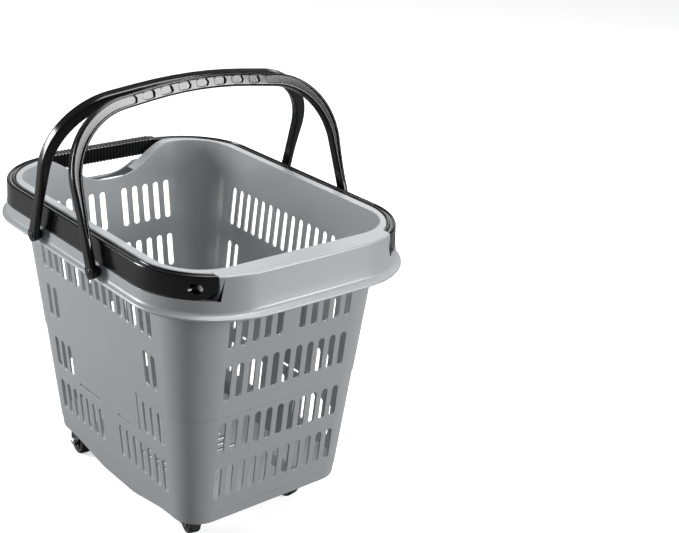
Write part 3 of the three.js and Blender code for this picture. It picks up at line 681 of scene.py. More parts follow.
def build_basket():
    """The basket: wall, rim and floor in one, then everything that is cut out of them."""
    plan = Plan()
    wall = plan.sizes.wall
    # the outside, as (height, out): a rounded foot, then the two step lines
    levels = (
        (plan.belly, -4.0 * MM),
        (plan.belly + 0.6 * MM, -2.9 * MM),
        (plan.belly + 2 * MM, -1.9 * MM),
        (plan.belly + 4 * MM, -BASE_IN),
        (plan.base - STEP_HALF, -BASE_IN),
        (plan.base - 0.3 * MM, -1.45 * MM),
        (plan.base + 0.3 * MM, -1.05 * MM),
        (plan.base + STEP_HALF, -STEP_IN),
        (plan.step - STEP_HALF, -STEP_IN),
        (plan.step - 0.3 * MM, -0.7 * MM),
        (plan.step + 0.3 * MM, -0.2 * MM),
        (plan.step + STEP_HALF, 0),
        (plan.top - MM, 0),
    )
    outside = loft("basket_shell", [plan.wall(z, out) for z, out in levels])
    rim = carve(rim_block(plan), rim_hollow(plan))
    inside = plan.inside(plan.belly, plan.top + 8 * MM)
    carve(inside, [belly(plan, wall), *wheel_wells(plan, wall)])
    tub = carve(outside, [rim], "UNION")
    cuts = [inside, belly(plan, 0), *wheel_wells(plan, 0), handle_channel(plan), end_relief(plan)]
    # the dip through the whole rim, then a wider and deeper one in the outer skirt alone
    cuts.append(grip_scoop(plan, half=92 * MM, depth=35.5 * MM, inner=44 * MM))
    cuts.append(grip_scoop(plan, half=97 * MM, depth=43.5 * MM, inner=11 * MM))
    cuts += [floor_slots(plan), *wall_slots(plan), sign_grooves(plan)]
    carve(tub, cuts)
    tub.name = "basket"
    soften(tub, plan.sizes.edge)
    finish_piece(tub, "basket", grey_plastic(), ["basket_tub"])


# ------------------------------------------------------------------ pull handle


def band_path():
    """Stations from the near front corner round the rear to the far front corner."""
    count = len(STATIONS)
    start = next(i for i, s in enumerate(STATIONS) if s[0] > 0 and s[1] > 0)
    order = [STATIONS[(start + i) % count] for i in range(count)]
    return [s for s in order if not (s[0] > 0 and s[2] is None)]


def ring_sweep(name, plan, stations, section):
    """A section of (out, z) carried along plan stations, closed at both ends."""
    count = len(section)
    verts, faces = [], []
    for station in stations:
        for out, z in section:
            half_x, half_y = plan.half_x + out, plan.half_y + out
            verts.append((*plan_point(station, half_x, half_y, plan.corner + out, plan.bow), z))
    for i in range(len(stations) - 1):
        for k in range(count):
            m = (k + 1) % count
            a, b = i * count, (i + 1) * count
            faces.append((a + k, a + m, b + m, b + k))
    faces.append(tuple(range(count)))
    faces.append(tuple(range(len(verts) - count, len(verts))))
    return object_from(name, verts, faces)


def grip_bar(plan, sizes):
    """The ribbed grip: a bar along the rear side whose section swells at every rib."""
    half, plain_end = 80 * MM, 6 * MM
    low, high = plan.top - 19.5 * MM, plan.top + 3.5 * MM
    inner, outer = -sizes.band, 3.5 * MM
    corner = 3.2 * MM
    per_rib = 6
    count = int(2 * half / sizes.rib_pitch) * per_rib
    frames, sections = [], []
    for i in range(count + 1):
        y = -half + 2 * half * i / count
        phase = (i % per_rib) / per_rib
        swell = sizes.rib_tall if phase < 0.5 else 0
        if abs(y) > half - plain_end:
            swell = 0
        bow = plan.bow * (1 - (y / plan.half_y) ** 2)
        at = Vector((-plan.half_x - bow, y, 0))
        cut = sizes.rib_tall - swell
        corners = [
            (inner + cut, low + cut),
            (outer - cut, low + cut),
            (outer - cut, high - cut * 0.5),
            (inner + cut, high - cut * 0.5),
        ]
        frames.append((at, Vector((-1, 0, 0)), Vector((0, 0, 1))))
        sections.append(rounded_profile(corners, corner, 4))
    return sweep("grip", frames, sections)


def build_pull_handle():
    """The band with its tails and bores, and the ribbed grip at its middle."""
    plan = Plan()
    sizes = bpy.context.scene.trolley_handles
    low, high = plan.band_low, plan.top + 0.4 * MM
    inner = -sizes.band
    # the band's section as (out, height), with a groove along its top
    section = [
        (inner + 0.6 * MM, low),
        (-0.4 * MM, low),
        (0.8 * MM, low + 1.2 * MM),
        (0.2 * MM, high - 2.2 * MM),
        (-0.3 * MM, high - 0.9 * MM),
        (-1.3 * MM, high),
        (-2.6 * MM, high),
        (-3.1 * MM, high - 0.7 * MM),
        (-3.4 * MM, high - 1.7 * MM),
        (-6.6 * MM, high - 1.7 * MM),
        (-6.9 * MM, high - 0.7 * MM),
        (-7.4 * MM, high),
        (inner + 1.4 * MM, high),
        (inner + 0.4 * MM, high - 0.4 * MM),
        (inner, high - 1.4 * MM),
        (inner, low + 0.8 * MM),
    ]
    band = ring_sweep("pull_handle_band", plan, band_path(), section)
    pivot_low, pivot_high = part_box("pull_pivot_screw_near")
    axis = ((pivot_low[0] + pivot_high[0]) / 2, (pivot_low[2] + pivot_high[2]) / 2)
    end = plan.half_y - BAND_END_IN
    wide = plan.half_y + 2 * MM
    tail_round, grip_gap = 12.6 * MM, 78 * MM
    seat_from_end, bore_start, counterbore = 12.5 * MM, 100 * MM, 5.7 * MM
    front = box((0, -end, 0), (plan.half_x * 2, end, 1))
    # below the pivot the tail is round about it, so that it clears the rim as it swings
    tail = box((axis[0], -wide, 0), (plan.half_x * 2, wide, axis[1]))
    carve(tail, [rod("y", tail_round, -wide - MM, wide + MM, axis)])
    gap = box((-plan.half_x * 2, -grip_gap, low - MM), (0, grip_gap, high + MM))
    cuts = [front, tail, gap]
    for side in (NEAR, FAR):
        seat = side * (end + seat_from_end)
        cuts.append(rod("y", BORE, side * bore_start, seat, axis, 32))
        cuts.append(rod("y", counterbore, seat, side * wide, axis, 48))
    carve(band, cuts)
    soften(band, 0.5 * MM, 2, 40)
    grip = soften(grip_bar(plan, sizes), 0)
    finish_piece(band, "pull_handle", black_gloss(), ["pull_handle"])
    finish_piece(grip, "pull_handle", black_gloss())
    grip.name = "pull_handle_grip"


def build_pull_screws():
    """The dome-headed screws that the pull handle turns on."""
    proud, head_radius, head_tall = 1.3 * MM, 5.4 * MM, 3.2 * MM
    for name, side in (("near", NEAR), ("far", FAR)):
        node = f"pull_pivot_screw_{name}"
        low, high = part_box(node)
        axis = ((low[0] + high[0]) / 2, (low[2] + high[2]) / 2)
        ends = sorted((low[1], high[1]), key=abs)
        seat = ends[1] + side * proud
        shank = rod("y", SHANK, ends[0], seat, axis, 32)
        head = domed_head(head_radius, head_tall, axis, seat, side)
        finish_piece(join(node, [shank, head]), "basket", bright_metal(), [node])


def domed_head(radius, tall, axis, seat, side):
    """A round screw head with a cross recess, facing outward along Y."""
    profile = [(0, 0), (radius * 0.92, 0), (radius, 0.12 * tall), (radius * 0.97, 0.45 * tall)]
    steps = 6
    for k in range(1, steps + 1):
        a = k / steps * math.pi / 2
        profile.append((radius * 0.97 * math.cos(a), tall * (0.45 + 0.55 * math.sin(a))))
    turn = Matrix.Rotation(-side * math.pi / 2, 4, "X")
    place = Matrix.Translation((axis[0], seat, axis[1])) @ turn
    head = turned("head", profile, place, 40)
    arm, thin = radius * 0.55, radius * 0.14
    low_y, high_y = sorted((seat + side * tall * 0.5, seat + side * tall * 1.2))
    bars = [
        box((axis[0] - arm, low_y, axis[1] - thin), (axis[0] + arm, high_y, axis[1] + thin)),
        box((axis[0] - thin, low_y, axis[1] - arm), (axis[0] + thin, high_y, axis[1] + arm)),
    ]
    carve(head, bars)
    return soften(head, 0.15 * MM, 2)


# ------------------------------------------------------------------ carry handles


def rounded_line(corners, step=0.05):
    """Points along a line with rounded corners, each given as (a, b, radius)."""
    points = [Vector(corners[0][:2])]
    for before, corner, after in zip(corners, corners[1:], corners[2:]):
        here, radius = Vector(corner[:2]), corner[2]
        into = (here - Vector(before[:2])).normalized()
        away = (Vector(after[:2]) - here).normalized()
        turn = math.atan2(into.x * away.y - into.y * away.x, into.dot(away))
        start = here - into * radius * math.tan(abs(turn) / 2)
        heading = math.atan2(into.y, into.x)
        side = math.copysign(1, turn)
        steps = max(4, math.ceil(abs(turn) / step))
        for k in range(steps + 1):
            a = heading + turn * k / steps
            shift = Vector((math.sin(a) - math.sin(heading), math.cos(heading) - math.cos(a)))
            points.append(start + shift * side * radius)
    points.append(Vector(corners[-1][:2]))
    return points


def resample(points, spacing):
    """The same line with even spacing."""
    lengths = [0.0]
    for a, b in zip(points, points[1:]):
        lengths.append(lengths[-1] + (b - a).length)
    count = max(2, round(lengths[-1] / spacing))
    out, k = [], 0
    for i in range(count + 1):
        target = lengths[-1] * i / count
        while k < len(lengths) - 2 and lengths[k + 1] < target:
            k += 1
        span = lengths[k + 1] - lengths[k]
        t = (target - lengths[k]) / span if span else 0
        out.append(points[k].lerp(points[k + 1], t))
    return out


CARRY_STEP = 1.5 * MM  # spacing of the stations along a carry handle
FOOT = 8 * MM  # radius of a carry handle's round foot


def ease(value, low, high):
    """Goes smoothly from 0 at low to 1 at high."""
    t = min(max((value - low) / (high - low), 0), 1)
    return t * t * (3 - 2 * t)


class CarryShape:
    """The inner edge of a carry handle in its own plane, and its section along the way."""

    foot_half_width = 7.6 * MM
    foot_blend = 70 * MM  # distance up the leg over which the foot's width runs out
    thick_from, thick_to = 30 * MM, 150 * MM

    def __init__(self, plan):
        self.leg_in = plan.half_y + 7.5 * MM
        self.leg_thick = 8 * MM
        self.grip_thick = 15 * MM
        self.width = 12.6 * MM
        self.axis_x = 68 * MM
        self.reach = plan.half_x + plan.bow + 12.2 * MM - self.axis_x
        crown = 540 * MM
        shoulder_y, shoulder_s = self.leg_in - 5.9 * MM, self.reach - 17.7 * MM
        # the peak of the two lines that the crown's arc rounds off, found by repeating
        slope = 0.1
        for _ in range(20):
            peak = self.reach + crown * (1 / math.cos(slope) - 1)
            slope = math.atan2(peak - shoulder_s, shoulder_y)
        half = [
            (self.leg_in, 0, 0),
            (self.leg_in, 30 * MM, 300 * MM),
            (shoulder_y, shoulder_s, 80 * MM),
        ]
        mirrored = [(-y, s, r) for y, s, r in reversed(half)]
        self.line = resample(rounded_line([*half, (0, peak, crown), *mirrored]), CARRY_STEP)
        # at rest the two handles' outer edges all but meet over the middle
        outer, side, meet = self.reach + self.grip_thick, 7 * MM, 0.6 * MM
        self.lean = math.asin((self.axis_x - meet) / math.hypot(outer, side))
        self.lean -= math.atan2(side, outer)

    def thick(self, s):
        """Thickness in the handle's own plane: the leg's low down, the grip's at the top."""
        share = ease(s, self.thick_from, self.thick_to)
        return self.leg_thick + (self.grip_thick - self.leg_thick) * share

    def half_width(self, s):
        """Half the width: broad at the foot, slimmer up the leg."""
        foot = self.foot_half_width
        return foot + (self.width / 2 - foot) * ease(s, 0, self.foot_blend)

    def frame_at(self, i):
        """Place, outward direction and sideways direction at a station of the line."""
        line = self.line
        before, after = line[max(i - 1, 0)], line[min(i + 1, len(line) - 1)]
        along = (after - before).normalized()
        at = Vector((0, line[i].x, line[i].y))
        return at, Vector((0, along.y, -along.x)), Vector((1, 0, 0))


def carry_pocket(shape, first, last, open_side, sizes):
    """A cutter between two points of the line, with round ends, open to one face."""
    half = shape.width / 2
    line = shape.line
    low, high = open_side * (half - sizes.pocket_deep), open_side * (half + 2 * MM)
    travelled = [0.0]
    for i in range(first, last):
        travelled.append(travelled[-1] + (line[i + 1] - line[i]).length)
    total = travelled[-1]
    frames, sections = [], []
    for i in range(first, last + 1):
        at, out, side = shape.frame_at(i)
        thick = shape.thick(line[i].y)
        room = thick / 2 - sizes.pocket_wall
        edge = min(travelled[i - first], total - travelled[i - first])
        share = 1.0 if edge >= room else math.sqrt(max(1 - ((room - edge) / room) ** 2, 0.04))
        inner, outer = thick / 2 - room * share, thick / 2 + room * share
        frames.append((at, out, side))
        sections.append([(inner, low), (outer, low), (outer, high), (inner, high)])
    return sweep("pocket", frames, sections)


def carry_handle(plan, sizes, open_side):
    """One carry handle, upright over its pivot."""
    shape = CarryShape(plan)
    corner = 3.2 * MM
    boss, boss_tall = 6.5 * MM, 3.6 * MM
    frames, sections = [], []
    for i in range(len(shape.line)):
        frames.append(shape.frame_at(i))
        thick = shape.thick(shape.line[i].y)
        half = shape.half_width(shape.line[i].y)
        corners = [(0, -half), (0, half), (thick, half), (thick, -half)]
        sections.append(rounded_profile(corners, corner, 5))
    bow = sweep("bow", frames, sections)
    feet = []
    for side in (NEAR, FAR):
        near, far = side * shape.leg_in, side * (shape.leg_in + shape.leg_thick)
        feet.append(rod("y", FOOT, near, far, (0, 0), 56))
        feet.append(rod("y", boss, near - side * boss_tall, far, (0, 0), 48))
    carve(bow, feet, "UNION")

    # short windows along the grip, then one long pocket down each shoulder
    count = len(shape.line)
    middle = count // 2
    window, bridge, foot_clear = 16.5 * MM, 7.5 * MM, 38 * MM
    pitch = round((window + bridge) / CARRY_STEP)
    long = round(window / CARRY_STEP)
    pockets = []
    first = middle - (sizes.windows * pitch - (pitch - long)) // 2
    for k in range(sizes.windows):
        start = first + k * pitch
        pockets.append(carry_pocket(shape, start, start + long, open_side, sizes))
    leg = round(foot_clear / CARRY_STEP)
    pockets.append(carry_pocket(shape, leg, first - (pitch - long), open_side, sizes))
    last = first + sizes.windows * pitch
    pockets.append(carry_pocket(shape, last, count - 1 - leg, open_side, sizes))
    carve(bow, [join("pockets", pockets)])
    for side in (NEAR, FAR):
        near, far = shape.leg_in - 8 * MM, shape.leg_in + 16 * MM
        carve(bow, [rod("y", BORE, side * near, side * far, (0, 0), 32)])
    return soften(bow, 0.45 * MM, 2, 34), shape


def build_carry_handles():
    """The two carry handles, leaning together over the middle."""
    plan = Plan()
    sizes = bpy.context.scene.trolley_handles
    for name, end in (("front", FRONT), ("rear", REAR)):
        node = f"carry_handle_{name}"
        bow, shape = carry_handle(plan, sizes, end)
        low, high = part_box(f"carry_pin_{name}_near")
        axis_x, axis_z = (low[0] + high[0]) / 2, (low[2] + high[2]) / 2
        turn = Matrix.Rotation(-end * shape.lean, 4, "Y")
        bow.data.transform(Matrix.Translation((axis_x, 0, axis_z)) @ turn)
        bow.name = f"{node}_moulding"
        finish_piece(bow, f"carry_{name}", black_gloss(), [node])


def build_carry_pins():
    """Black-capped pivot pins at the feet of the carry handles."""
    cap_radius, cap_edge, cap_rise, sunk, steps = 4.5 * MM, 0.2, 0.5, 1.4 * MM, 6
    for name in ("front", "rear"):
        for place, side in (("near", NEAR), ("far", FAR)):
            node = f"carry_pin_{name}_{place}"
            low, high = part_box(node)
            axis = ((low[0] + high[0]) / 2, (low[2] + high[2]) / 2)
            ends = sorted((low[1], high[1]), key=abs)
            seat = ends[1] - side * sunk
            shank = rod("y", SHANK, ends[0], seat, axis, 32)
            profile = [(0, 0), (cap_radius, 0), (cap_radius, cap_edge * MM)]
            for k in range(1, steps + 1):
                a = k / steps * math.pi / 2
                profile.append((cap_radius * math.cos(a), (cap_edge + cap_rise * math.sin(a)) * MM))
            turn = Matrix.Rotation(-side * math.pi / 2, 4, "X")
            cap = turned("cap", profile, Matrix.Translation((axis[0], seat, axis[1])) @ turn, 48)
            pin = soften(join(node, [shank, cap]), 0)
            finish_piece(pin, "basket", black_gloss(), [node])


# ------------------------------------------------------------------ casters


class CasterPlace:
    """Where one caster stands, and how it is turned, from its joints."""

    def __init__(self, name):
        joints = {joint["name"]: joint for joint in frame["joints"]}
        swivel = joints[f"swivel_{name}_turn"]
        roll = joints[f"wheel_{name}_roll"]
        self.name = name
        self.pivot = Vector(swivel["pos_m"])
        self.axle = Vector(roll["pos_m"])
        axis = Vector(roll["axis"])
        turn = math.atan2(-axis.x, axis.y)
        turned_about_z = Matrix.Rotation(turn, 4, "Z")
        self.fixed_matrix = Matrix.Translation((self.pivot.x, self.pivot.y, 0))
        self.swivel_matrix = self.fixed_matrix @ turned_about_z
        self.axle_matrix = Matrix.Translation(self.axle) @ turned_about_z


LAY_DOWN = Matrix.Rotation(-math.pi / 2, 4, "X")  # turns a profile's Z to run along +Y
STAND_UP = Matrix.Rotation(math.pi / 2, 4, "X")  # turns it to run along -Y
WHEEL = 19 * MM  # the tyre's radius, and the axle's height
BRIDGE_HIGH = 44.6 * MM  # top of the fork's bridge
AXLE_FACE = 11.9 * MM  # outside of the fork's cheeks, where the bolt and nut seat


def caster_fork():
    """The fork, with its kingpin hole at the origin and its wheel trailing behind."""
    trail, inner, cheek = 16 * MM, 9.4 * MM, 2.2 * MM
    front, back, foot = 10.5 * MM, 9 * MM, 6.5 * MM
    outer = inner + cheek
    bridge_low = 42.2 * MM
    outline = [(front, 38.6 * MM), (front, BRIDGE_HIGH), (-trail - back, BRIDGE_HIGH)]
    outline.append((-trail - 8.4 * MM, 36 * MM))
    steps = 16
    for k in range(steps + 1):
        a = math.pi + math.pi * k / steps
        outline.append((-trail + foot * math.cos(a), WHEEL + foot * math.sin(a)))
    sides = [
        prism("cheek", outline, inner, outer, ALONG_Y),
        prism("cheek", outline, -outer, -inner, ALONG_Y),
    ]
    body = box((-trail - back, -outer, bridge_low), (front, outer, BRIDGE_HIGH))
    neck = rod("z", 9 * MM, BRIDGE_HIGH - MM, BRIDGE_HIGH + 7 * MM, (0, 0))
    carve(body, [*sides, neck], "UNION")
    cuts = [
        rod("z", 4.2 * MM, 30 * MM, 60 * MM, (0, 0)),
        rod("y", BORE, -outer - MM, outer + MM, (-trail, WHEEL), 32),
    ]
    carve(body, cuts)
    return soften(body, 0.5 * MM, 3)


def caster_tyre():
    """The tyre, with rounded shoulders."""
    half, inner = 8 * MM, 13.9 * MM
    shoulder_r, shoulder_y, steps = 3.4 * MM, 3.6 * MM, 8
    flat = WHEEL - shoulder_r
    profile = [(inner, -half + 0.6 * MM), (flat, -half)]
    for k in range(steps + 1):
        a = -math.pi / 2 + k / steps * math.pi / 2
        profile.append((flat + shoulder_r * math.cos(a), -half + shoulder_y + shoulder_y * math.sin(a)))
    profile += [(rr, -z) for rr, z in reversed(profile[1:])]
    profile.append((inner, half - 0.6 * MM))
    return soften(turned("tyre", profile, LAY_DOWN, 96), 0)


def caster_hub():
    """The hub: a boss and a rim with ribs between them, dished on both faces."""
    half, boss, rim = 8.5 * MM, 6.2 * MM, 13.6 * MM
    dish = -half + 3.2 * MM
    points = [
        (BORE, -half),
        (boss, -half),
        (boss, dish),
        (rim - 2.2 * MM, dish),
        (rim - 1.8 * MM, -half + MM),
        (rim, -half + MM),
    ]
    points += [(r, -y) for r, y in reversed(points)]
    hub = turned("hub", rounded_profile(points, 0.4 * MM, 2), LAY_DOWN, 96)
    ribs, rib_count, rib_half, rib_in = [], 6, 0.8 * MM, 1.6 * MM
    for k in range(rib_count):
        low, high = (6 * MM, -half + rib_in, -rib_half), (rim - 2 * MM, half - rib_in, rib_half)
        rib = box(low, high)
        rib.data.transform(Matrix.Rotation(k * 2 * math.pi / rib_count, 4, "Y"))
        ribs.append(rib)
    carve(hub, ribs, "UNION")
    return soften(hub, 0.3 * MM)


def axle_bolt():
    """The round-headed bolt through the wheel, with a six-sided driver socket."""
    dome, dome_edge, dome_tall, steps = 4.7 * MM, 0.7 * MM, 2.1 * MM, 8
    profile = [(0, 0), (5 * MM, 0), (4.9 * MM, 0.5 * MM)]
    for k in range(1, steps + 1):
        a = k / steps * math.pi / 2
        profile.append((dome * math.cos(a), dome_edge + dome_tall * math.sin(a)))
    head = turned("head", profile, Matrix.Translation((0, -AXLE_FACE, 0)) @ STAND_UP, 48)
    past_nut, socket = 3.6 * MM, 1.7 * MM
    shank = rod("y", SHANK, -AXLE_FACE, AXLE_FACE + past_nut, (0, 0), 40)
    driver = rod("y", socket, -AXLE_FACE - 4 * MM, -AXLE_FACE - 1.3 * MM, (0, 0), 6)
    carve(head, [driver])
    return soften(join("axle_bolt", [soften(head, 0.15 * MM), shank]), 0)


def axle_nut():
    """A six-sided nut with both faces chamfered."""
    face, tall, flat, corner, chamfer = AXLE_FACE, 3 * MM, 4.5 * MM, 5.2 * MM, 0.6 * MM
    nut = rod("y", 5 * MM, face, face + tall, (0, 0), 6)
    profile = [(0, 0), (flat, 0), (corner, chamfer), (corner, tall - chamfer), (flat, tall), (0, tall)]
    shape = turned("chamfer", profile, Matrix.Translation((0, face, 0)) @ LAY_DOWN, 48)
    carve(nut, [shape], "INTERSECT")
    carve(nut, [rod("y", BORE, face - MM, face + 4 * MM, (0, 0), 32)])
    return soften(nut, 0.15 * MM)


def mount_plate():
    """The plate screwed under the floor, with the collar that the fork turns on."""
    half_x, half_y, corner = 23 * MM, 17 * MM, 5 * MM
    hole_x, hole_y, hole, collar, pin_hole = 17.5 * MM, 11.5 * MM, 1.9 * MM, 8 * MM, 4 * MM
    corners = [(half_x, -half_y), (half_x, half_y), (-half_x, half_y), (-half_x, -half_y)]
    plate = prism("plate", rounded_profile(corners, corner, 8), 61.7 * MM, 64.7 * MM)
    carve(plate, [rod("z", collar, 52.1 * MM, 62.5 * MM, (0, 0))], "UNION")
    cuts = [rod("z", pin_hole, 50 * MM, 66 * MM, (0, 0))]
    for x in (hole_x, -hole_x):
        for y in (hole_y, -hole_y):
            cuts.append(rod("z", hole, 60 * MM, 66 * MM, (x, y), 24))
    carve(plate, cuts)
    return soften(plate, 0.4 * MM)


def kingpin():
    """The rivet that the fork turns on, with its head under the bridge."""
    foot, seat, top, head, shank = 39.5 * MM, 41.7 * MM, 64 * MM, 6.5 * MM, 3.7 * MM
    profile = [(0, foot), (4.6 * MM, foot), (6 * MM, 40.3 * MM), (head, 41.2 * MM)]
    profile += [(head, seat), (shank, seat), (shank, 63.6 * MM), (3.3 * MM, top), (0, top)]
    return soften(turned("kingpin", profile, None, 48), 0)


def plate_screw():
    """A short cross-head screw, its head under the mounting plate."""
    seat, tip, head, shank = 61.4 * MM, 67.2 * MM, 2.9 * MM, 1.6 * MM
    profile = [(0, seat - 1.8 * MM), (shank, seat - 1.75 * MM), (2.5 * MM, seat - 1.2 * MM)]
    profile += [(head, seat - 0.3 * MM), (head, seat), (shank, seat)]
    profile += [(shank, 66.6 * MM), (1.1 * MM, tip), (0, tip)]
    screw = turned("plate_screw", profile, None, 32)
    arm, thin, low, high = 1.5 * MM, 0.35 * MM, seat - 2.5 * MM, seat - MM
    bars = [
        box((-arm, -thin, low), (arm, thin, high)),
        box((-thin, -arm, low), (thin, arm, high)),
    ]
    carve(screw, bars)
    return soften(screw, 0)


def copy_of(source, name, matrix):
    """A placed copy of a piece made at the origin."""
    mesh = source.data.copy()
    mesh.name = name
    mesh.transform(matrix)
    return new_object(name, mesh)


def build_casters():
    """Every part of the four casters, each made once and copied to its places."""
    places = [CasterPlace(name) for name in CASTERS]
    parts = [
        ("plate", mount_plate(), "fixed", "basket", "black_nylon", black_nylon()),
        ("kingpin", kingpin(), "fixed", "basket", "nickel", bright_metal()),
        ("fork", caster_fork(), "swivel", "swivel", "black_nylon", black_nylon()),
        ("axle_bolt", axle_bolt(), "axle", "swivel", "nickel", bright_metal()),
        ("axle_nut", axle_nut(), "axle", "swivel", "nickel", bright_metal()),
        ("hub", caster_hub(), "axle", "wheel", "black_nylon", black_nylon()),
        ("tyre", caster_tyre(), "axle", "wheel", "rubber_tyre", tyre_rubber()),
    ]
    for part, source, where, body, slot, material in parts:
        for place in places:
            matrix = getattr(place, f"{where}_matrix")
            node = f"caster_{place.name}_{part}"
            made = copy_of(source, f"{node}_piece", matrix)
            rides = "basket" if body == "basket" else f"{body}_{place.name}"
            finish_piece(made, rides, material, [node])
        bpy.data.objects.remove(source)


def build_plate_screws():
    """The four screws of each mounting plate."""
    source = plate_screw()
    for name in CASTERS:
        for place in ("a1", "a2", "b1", "b2"):
            node = f"screw_{name}_{place}"
            low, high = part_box(node)
            middle = Matrix.Translation(((low[0] + high[0]) / 2, (low[1] + high[1]) / 2, 0))
            made = copy_of(source, f"{node}_piece", middle)
            finish_piece(made, "basket", bright_metal(), [node])
    bpy.data.objects.remove(source)


# ------------------------------------------------------------------ materials


def add_socket(group, name, kind, output=False, default=None):
    """Gives a node group an input, or an output."""
    socket = group.interface.new_socket(
        name=name, in_out="OUTPUT" if output else "INPUT", socket_type=f"NodeSocket{kind}"
    )
    if default is not None:
        socket.default_value = default


def node(tree, kind, **values):
    """Adds a node, setting its options by attribute name."""
    made = tree.nodes.new(f"ShaderNode{kind}")
    for name, value in values.items():
        setattr(made, name, value)
    return made


def mould_grain():
    """Group: the fine orange-peel of a moulded surface, and slow ripples under it."""
    name = "Mould grain"
    if name in bpy.data.node_groups:
        return bpy.data.node_groups[name]
    group = bpy.data.node_groups.new(name, "ShaderNodeTree")
    add_socket(group, "Scale", "Float", default=900.0)
    add_socket(group, "Ripple", "Float", default=0.3)
    add_socket(group, "Height", "Float", output=True)
    ins = group.nodes.new("NodeGroupInput")
    outs = group.nodes.new("NodeGroupOutput")
    place = node(group, "TexCoord")
    fine = node(group, "TexNoise")
    fine.inputs["Detail"].default_value = 3
    slow = node(group, "TexNoise")
    slow.inputs["Scale"].default_value = 14
    slow.inputs["Detail"].default_value = 1
    mix = node(group, "Math", operation="MULTIPLY_ADD")
    link = group.links.new
    link(place.outputs["Object"], fine.inputs["Vector"])
    link(ins.outputs["Scale"], fine.inputs["Scale"])
    link(place.outputs["Object"], slow.inputs["Vector"])
    link(slow.outputs["Fac"], mix.inputs[0])
    link(ins.outputs["Ripple"], mix.inputs[1])
    link(fine.outputs["Fac"], mix.inputs[2])
    link(mix.outputs[0], outs.inputs["Height"])
    return group


def handling_marks():
    """Group: long fine scuffs and cloudy wear from handling, as a mask."""
    name = "Handling marks"
    if name in bpy.data.node_groups:
        return bpy.data.node_groups[name]
    group = bpy.data.node_groups.new(name, "ShaderNodeTree")
    add_socket(group, "Scale", "Float", default=40.0)
    add_socket(group, "Amount", "Float", default=0.5)
    add_socket(group, "Scuffs", "Float", output=True)
    add_socket(group, "Cloud", "Float", output=True)
    ins = group.nodes.new("NodeGroupInput")
    outs = group.nodes.new("NodeGroupOutput")
    place = node(group, "TexCoord")
    stretch = node(group, "Mapping")
    stretch.inputs["Scale"].default_value = (1.0, 1.0, 9.0)
    stretch.inputs["Rotation"].default_value = (0.5, 0.3, 0.7)
    lines = node(group, "TexNoise")
    lines.inputs["Detail"].default_value = 6
    lines.inputs["Roughness"].default_value = 0.7
    ramp = node(group, "MapRange")
    ramp.inputs["From Min"].default_value = 0.60
    ramp.inputs["From Max"].default_value = 0.75
    scaled = node(group, "Math", operation="MULTIPLY")
    cloud = node(group, "TexNoise")
    cloud.inputs["Scale"].default_value = 7
    cloud.inputs["Detail"].default_value = 4
    link = group.links.new
    link(place.outputs["Object"], stretch.inputs["Vector"])
    link(stretch.outputs["Vector"], lines.inputs["Vector"])
    link(ins.outputs["Scale"], lines.inputs["Scale"])
    link(lines.outputs["Fac"], ramp.inputs["Value"])
    link(ramp.outputs["Result"], scaled.inputs[0])
    link(ins.outputs["Amount"], scaled.inputs[1])
    link(scaled.outputs[0], outs.inputs["Scuffs"])
    link(place.outputs["Object"], cloud.inputs["Vector"])
    link(cloud.outputs["Fac"], outs.inputs["Cloud"])
    return group


def place_group(tree, group, **values):
    """Places a node group in a material with its own values."""
    made = tree.nodes.new("ShaderNodeGroup")
    made.node_tree = group
    for name, value in values.items():
        made.inputs[name].default_value = value
    return made


SCUFF_GAIN, SCUFF_LIFT = 1.35, 0.008  # how much paler a scuff is than the clean surface


def surface(name, base, lift, rough, rough_lift, marks, grain, **shader):
    """A Principled surface whose colour, roughness and bump vary by the two groups.

    `lift` is the share by which the colour varies and `rough_lift` how far the roughness does.
    """
    if name in bpy.data.materials:
        return bpy.data.materials[name]
    material = bpy.data.materials.new(name)
    material.use_nodes = True
    tree = material.node_tree
    main = tree.nodes["Principled BSDF"]
    for socket, value in shader.items():
        main.inputs[socket.replace("_", " ")].default_value = value
    wear = place_group(tree, handling_marks(), **marks)
    peel = place_group(tree, mould_grain(), **{k: v for k, v in grain.items() if k != "Depth"})
    tint = node(tree, "MixRGB")
    tint.inputs["Color1"].default_value = (*[c * (1 - lift) for c in base], 1)
    tint.inputs["Color2"].default_value = (*[min(c * (1 + lift), 1) for c in base], 1)
    pale = node(tree, "MixRGB")
    scuffed = [min(c * SCUFF_GAIN + SCUFF_LIFT, 1) for c in base]
    pale.inputs["Color2"].default_value = (*scuffed, 1)
    rough_range = node(tree, "MapRange")
    rough_range.inputs["To Min"].default_value = rough - rough_lift
    rough_range.inputs["To Max"].default_value = rough + rough_lift
    rough_add = node(tree, "Math", operation="MULTIPLY_ADD")
    rough_add.inputs[1].default_value = rough_lift * 2
    bump = node(tree, "Bump")
    bump.inputs["Strength"].default_value = 1.0
    bump.inputs["Distance"].default_value = grain["Depth"]
    link = tree.links.new
    link(wear.outputs["Cloud"], tint.inputs["Fac"])
    link(tint.outputs["Color"], pale.inputs["Color1"])
    link(wear.outputs["Scuffs"], pale.inputs["Fac"])
    link(pale.outputs["Color"], main.inputs["Base Color"])
    link(wear.outputs["Cloud"], rough_range.inputs["Value"])
    link(wear.outputs["Scuffs"], rough_add.inputs[0])
    link(rough_range.outputs["Result"], rough_add.inputs[2])
    link(rough_add.outputs[0], main.inputs["Roughness"])
    link(peel.outputs["Height"], bump.inputs["Height"])
    link(bump.outputs["Normal"], main.inputs["Normal"])
    return material


def finishes():
    return bpy.context.scene.trolley_finishes


def grey_plastic():
    marks = {"Scale": 28.0, "Amount": 0.25}
    grain = {"Scale": 1500.0, "Ripple": 1.6, "Depth": 0.00004}
    tone = {"base": finishes().basket, "lift": 0.035, "rough": 0.30, "rough_lift": 0.05}
    return surface("Grey moulded plastic", marks=marks, grain=grain, IOR=1.49, **tone)


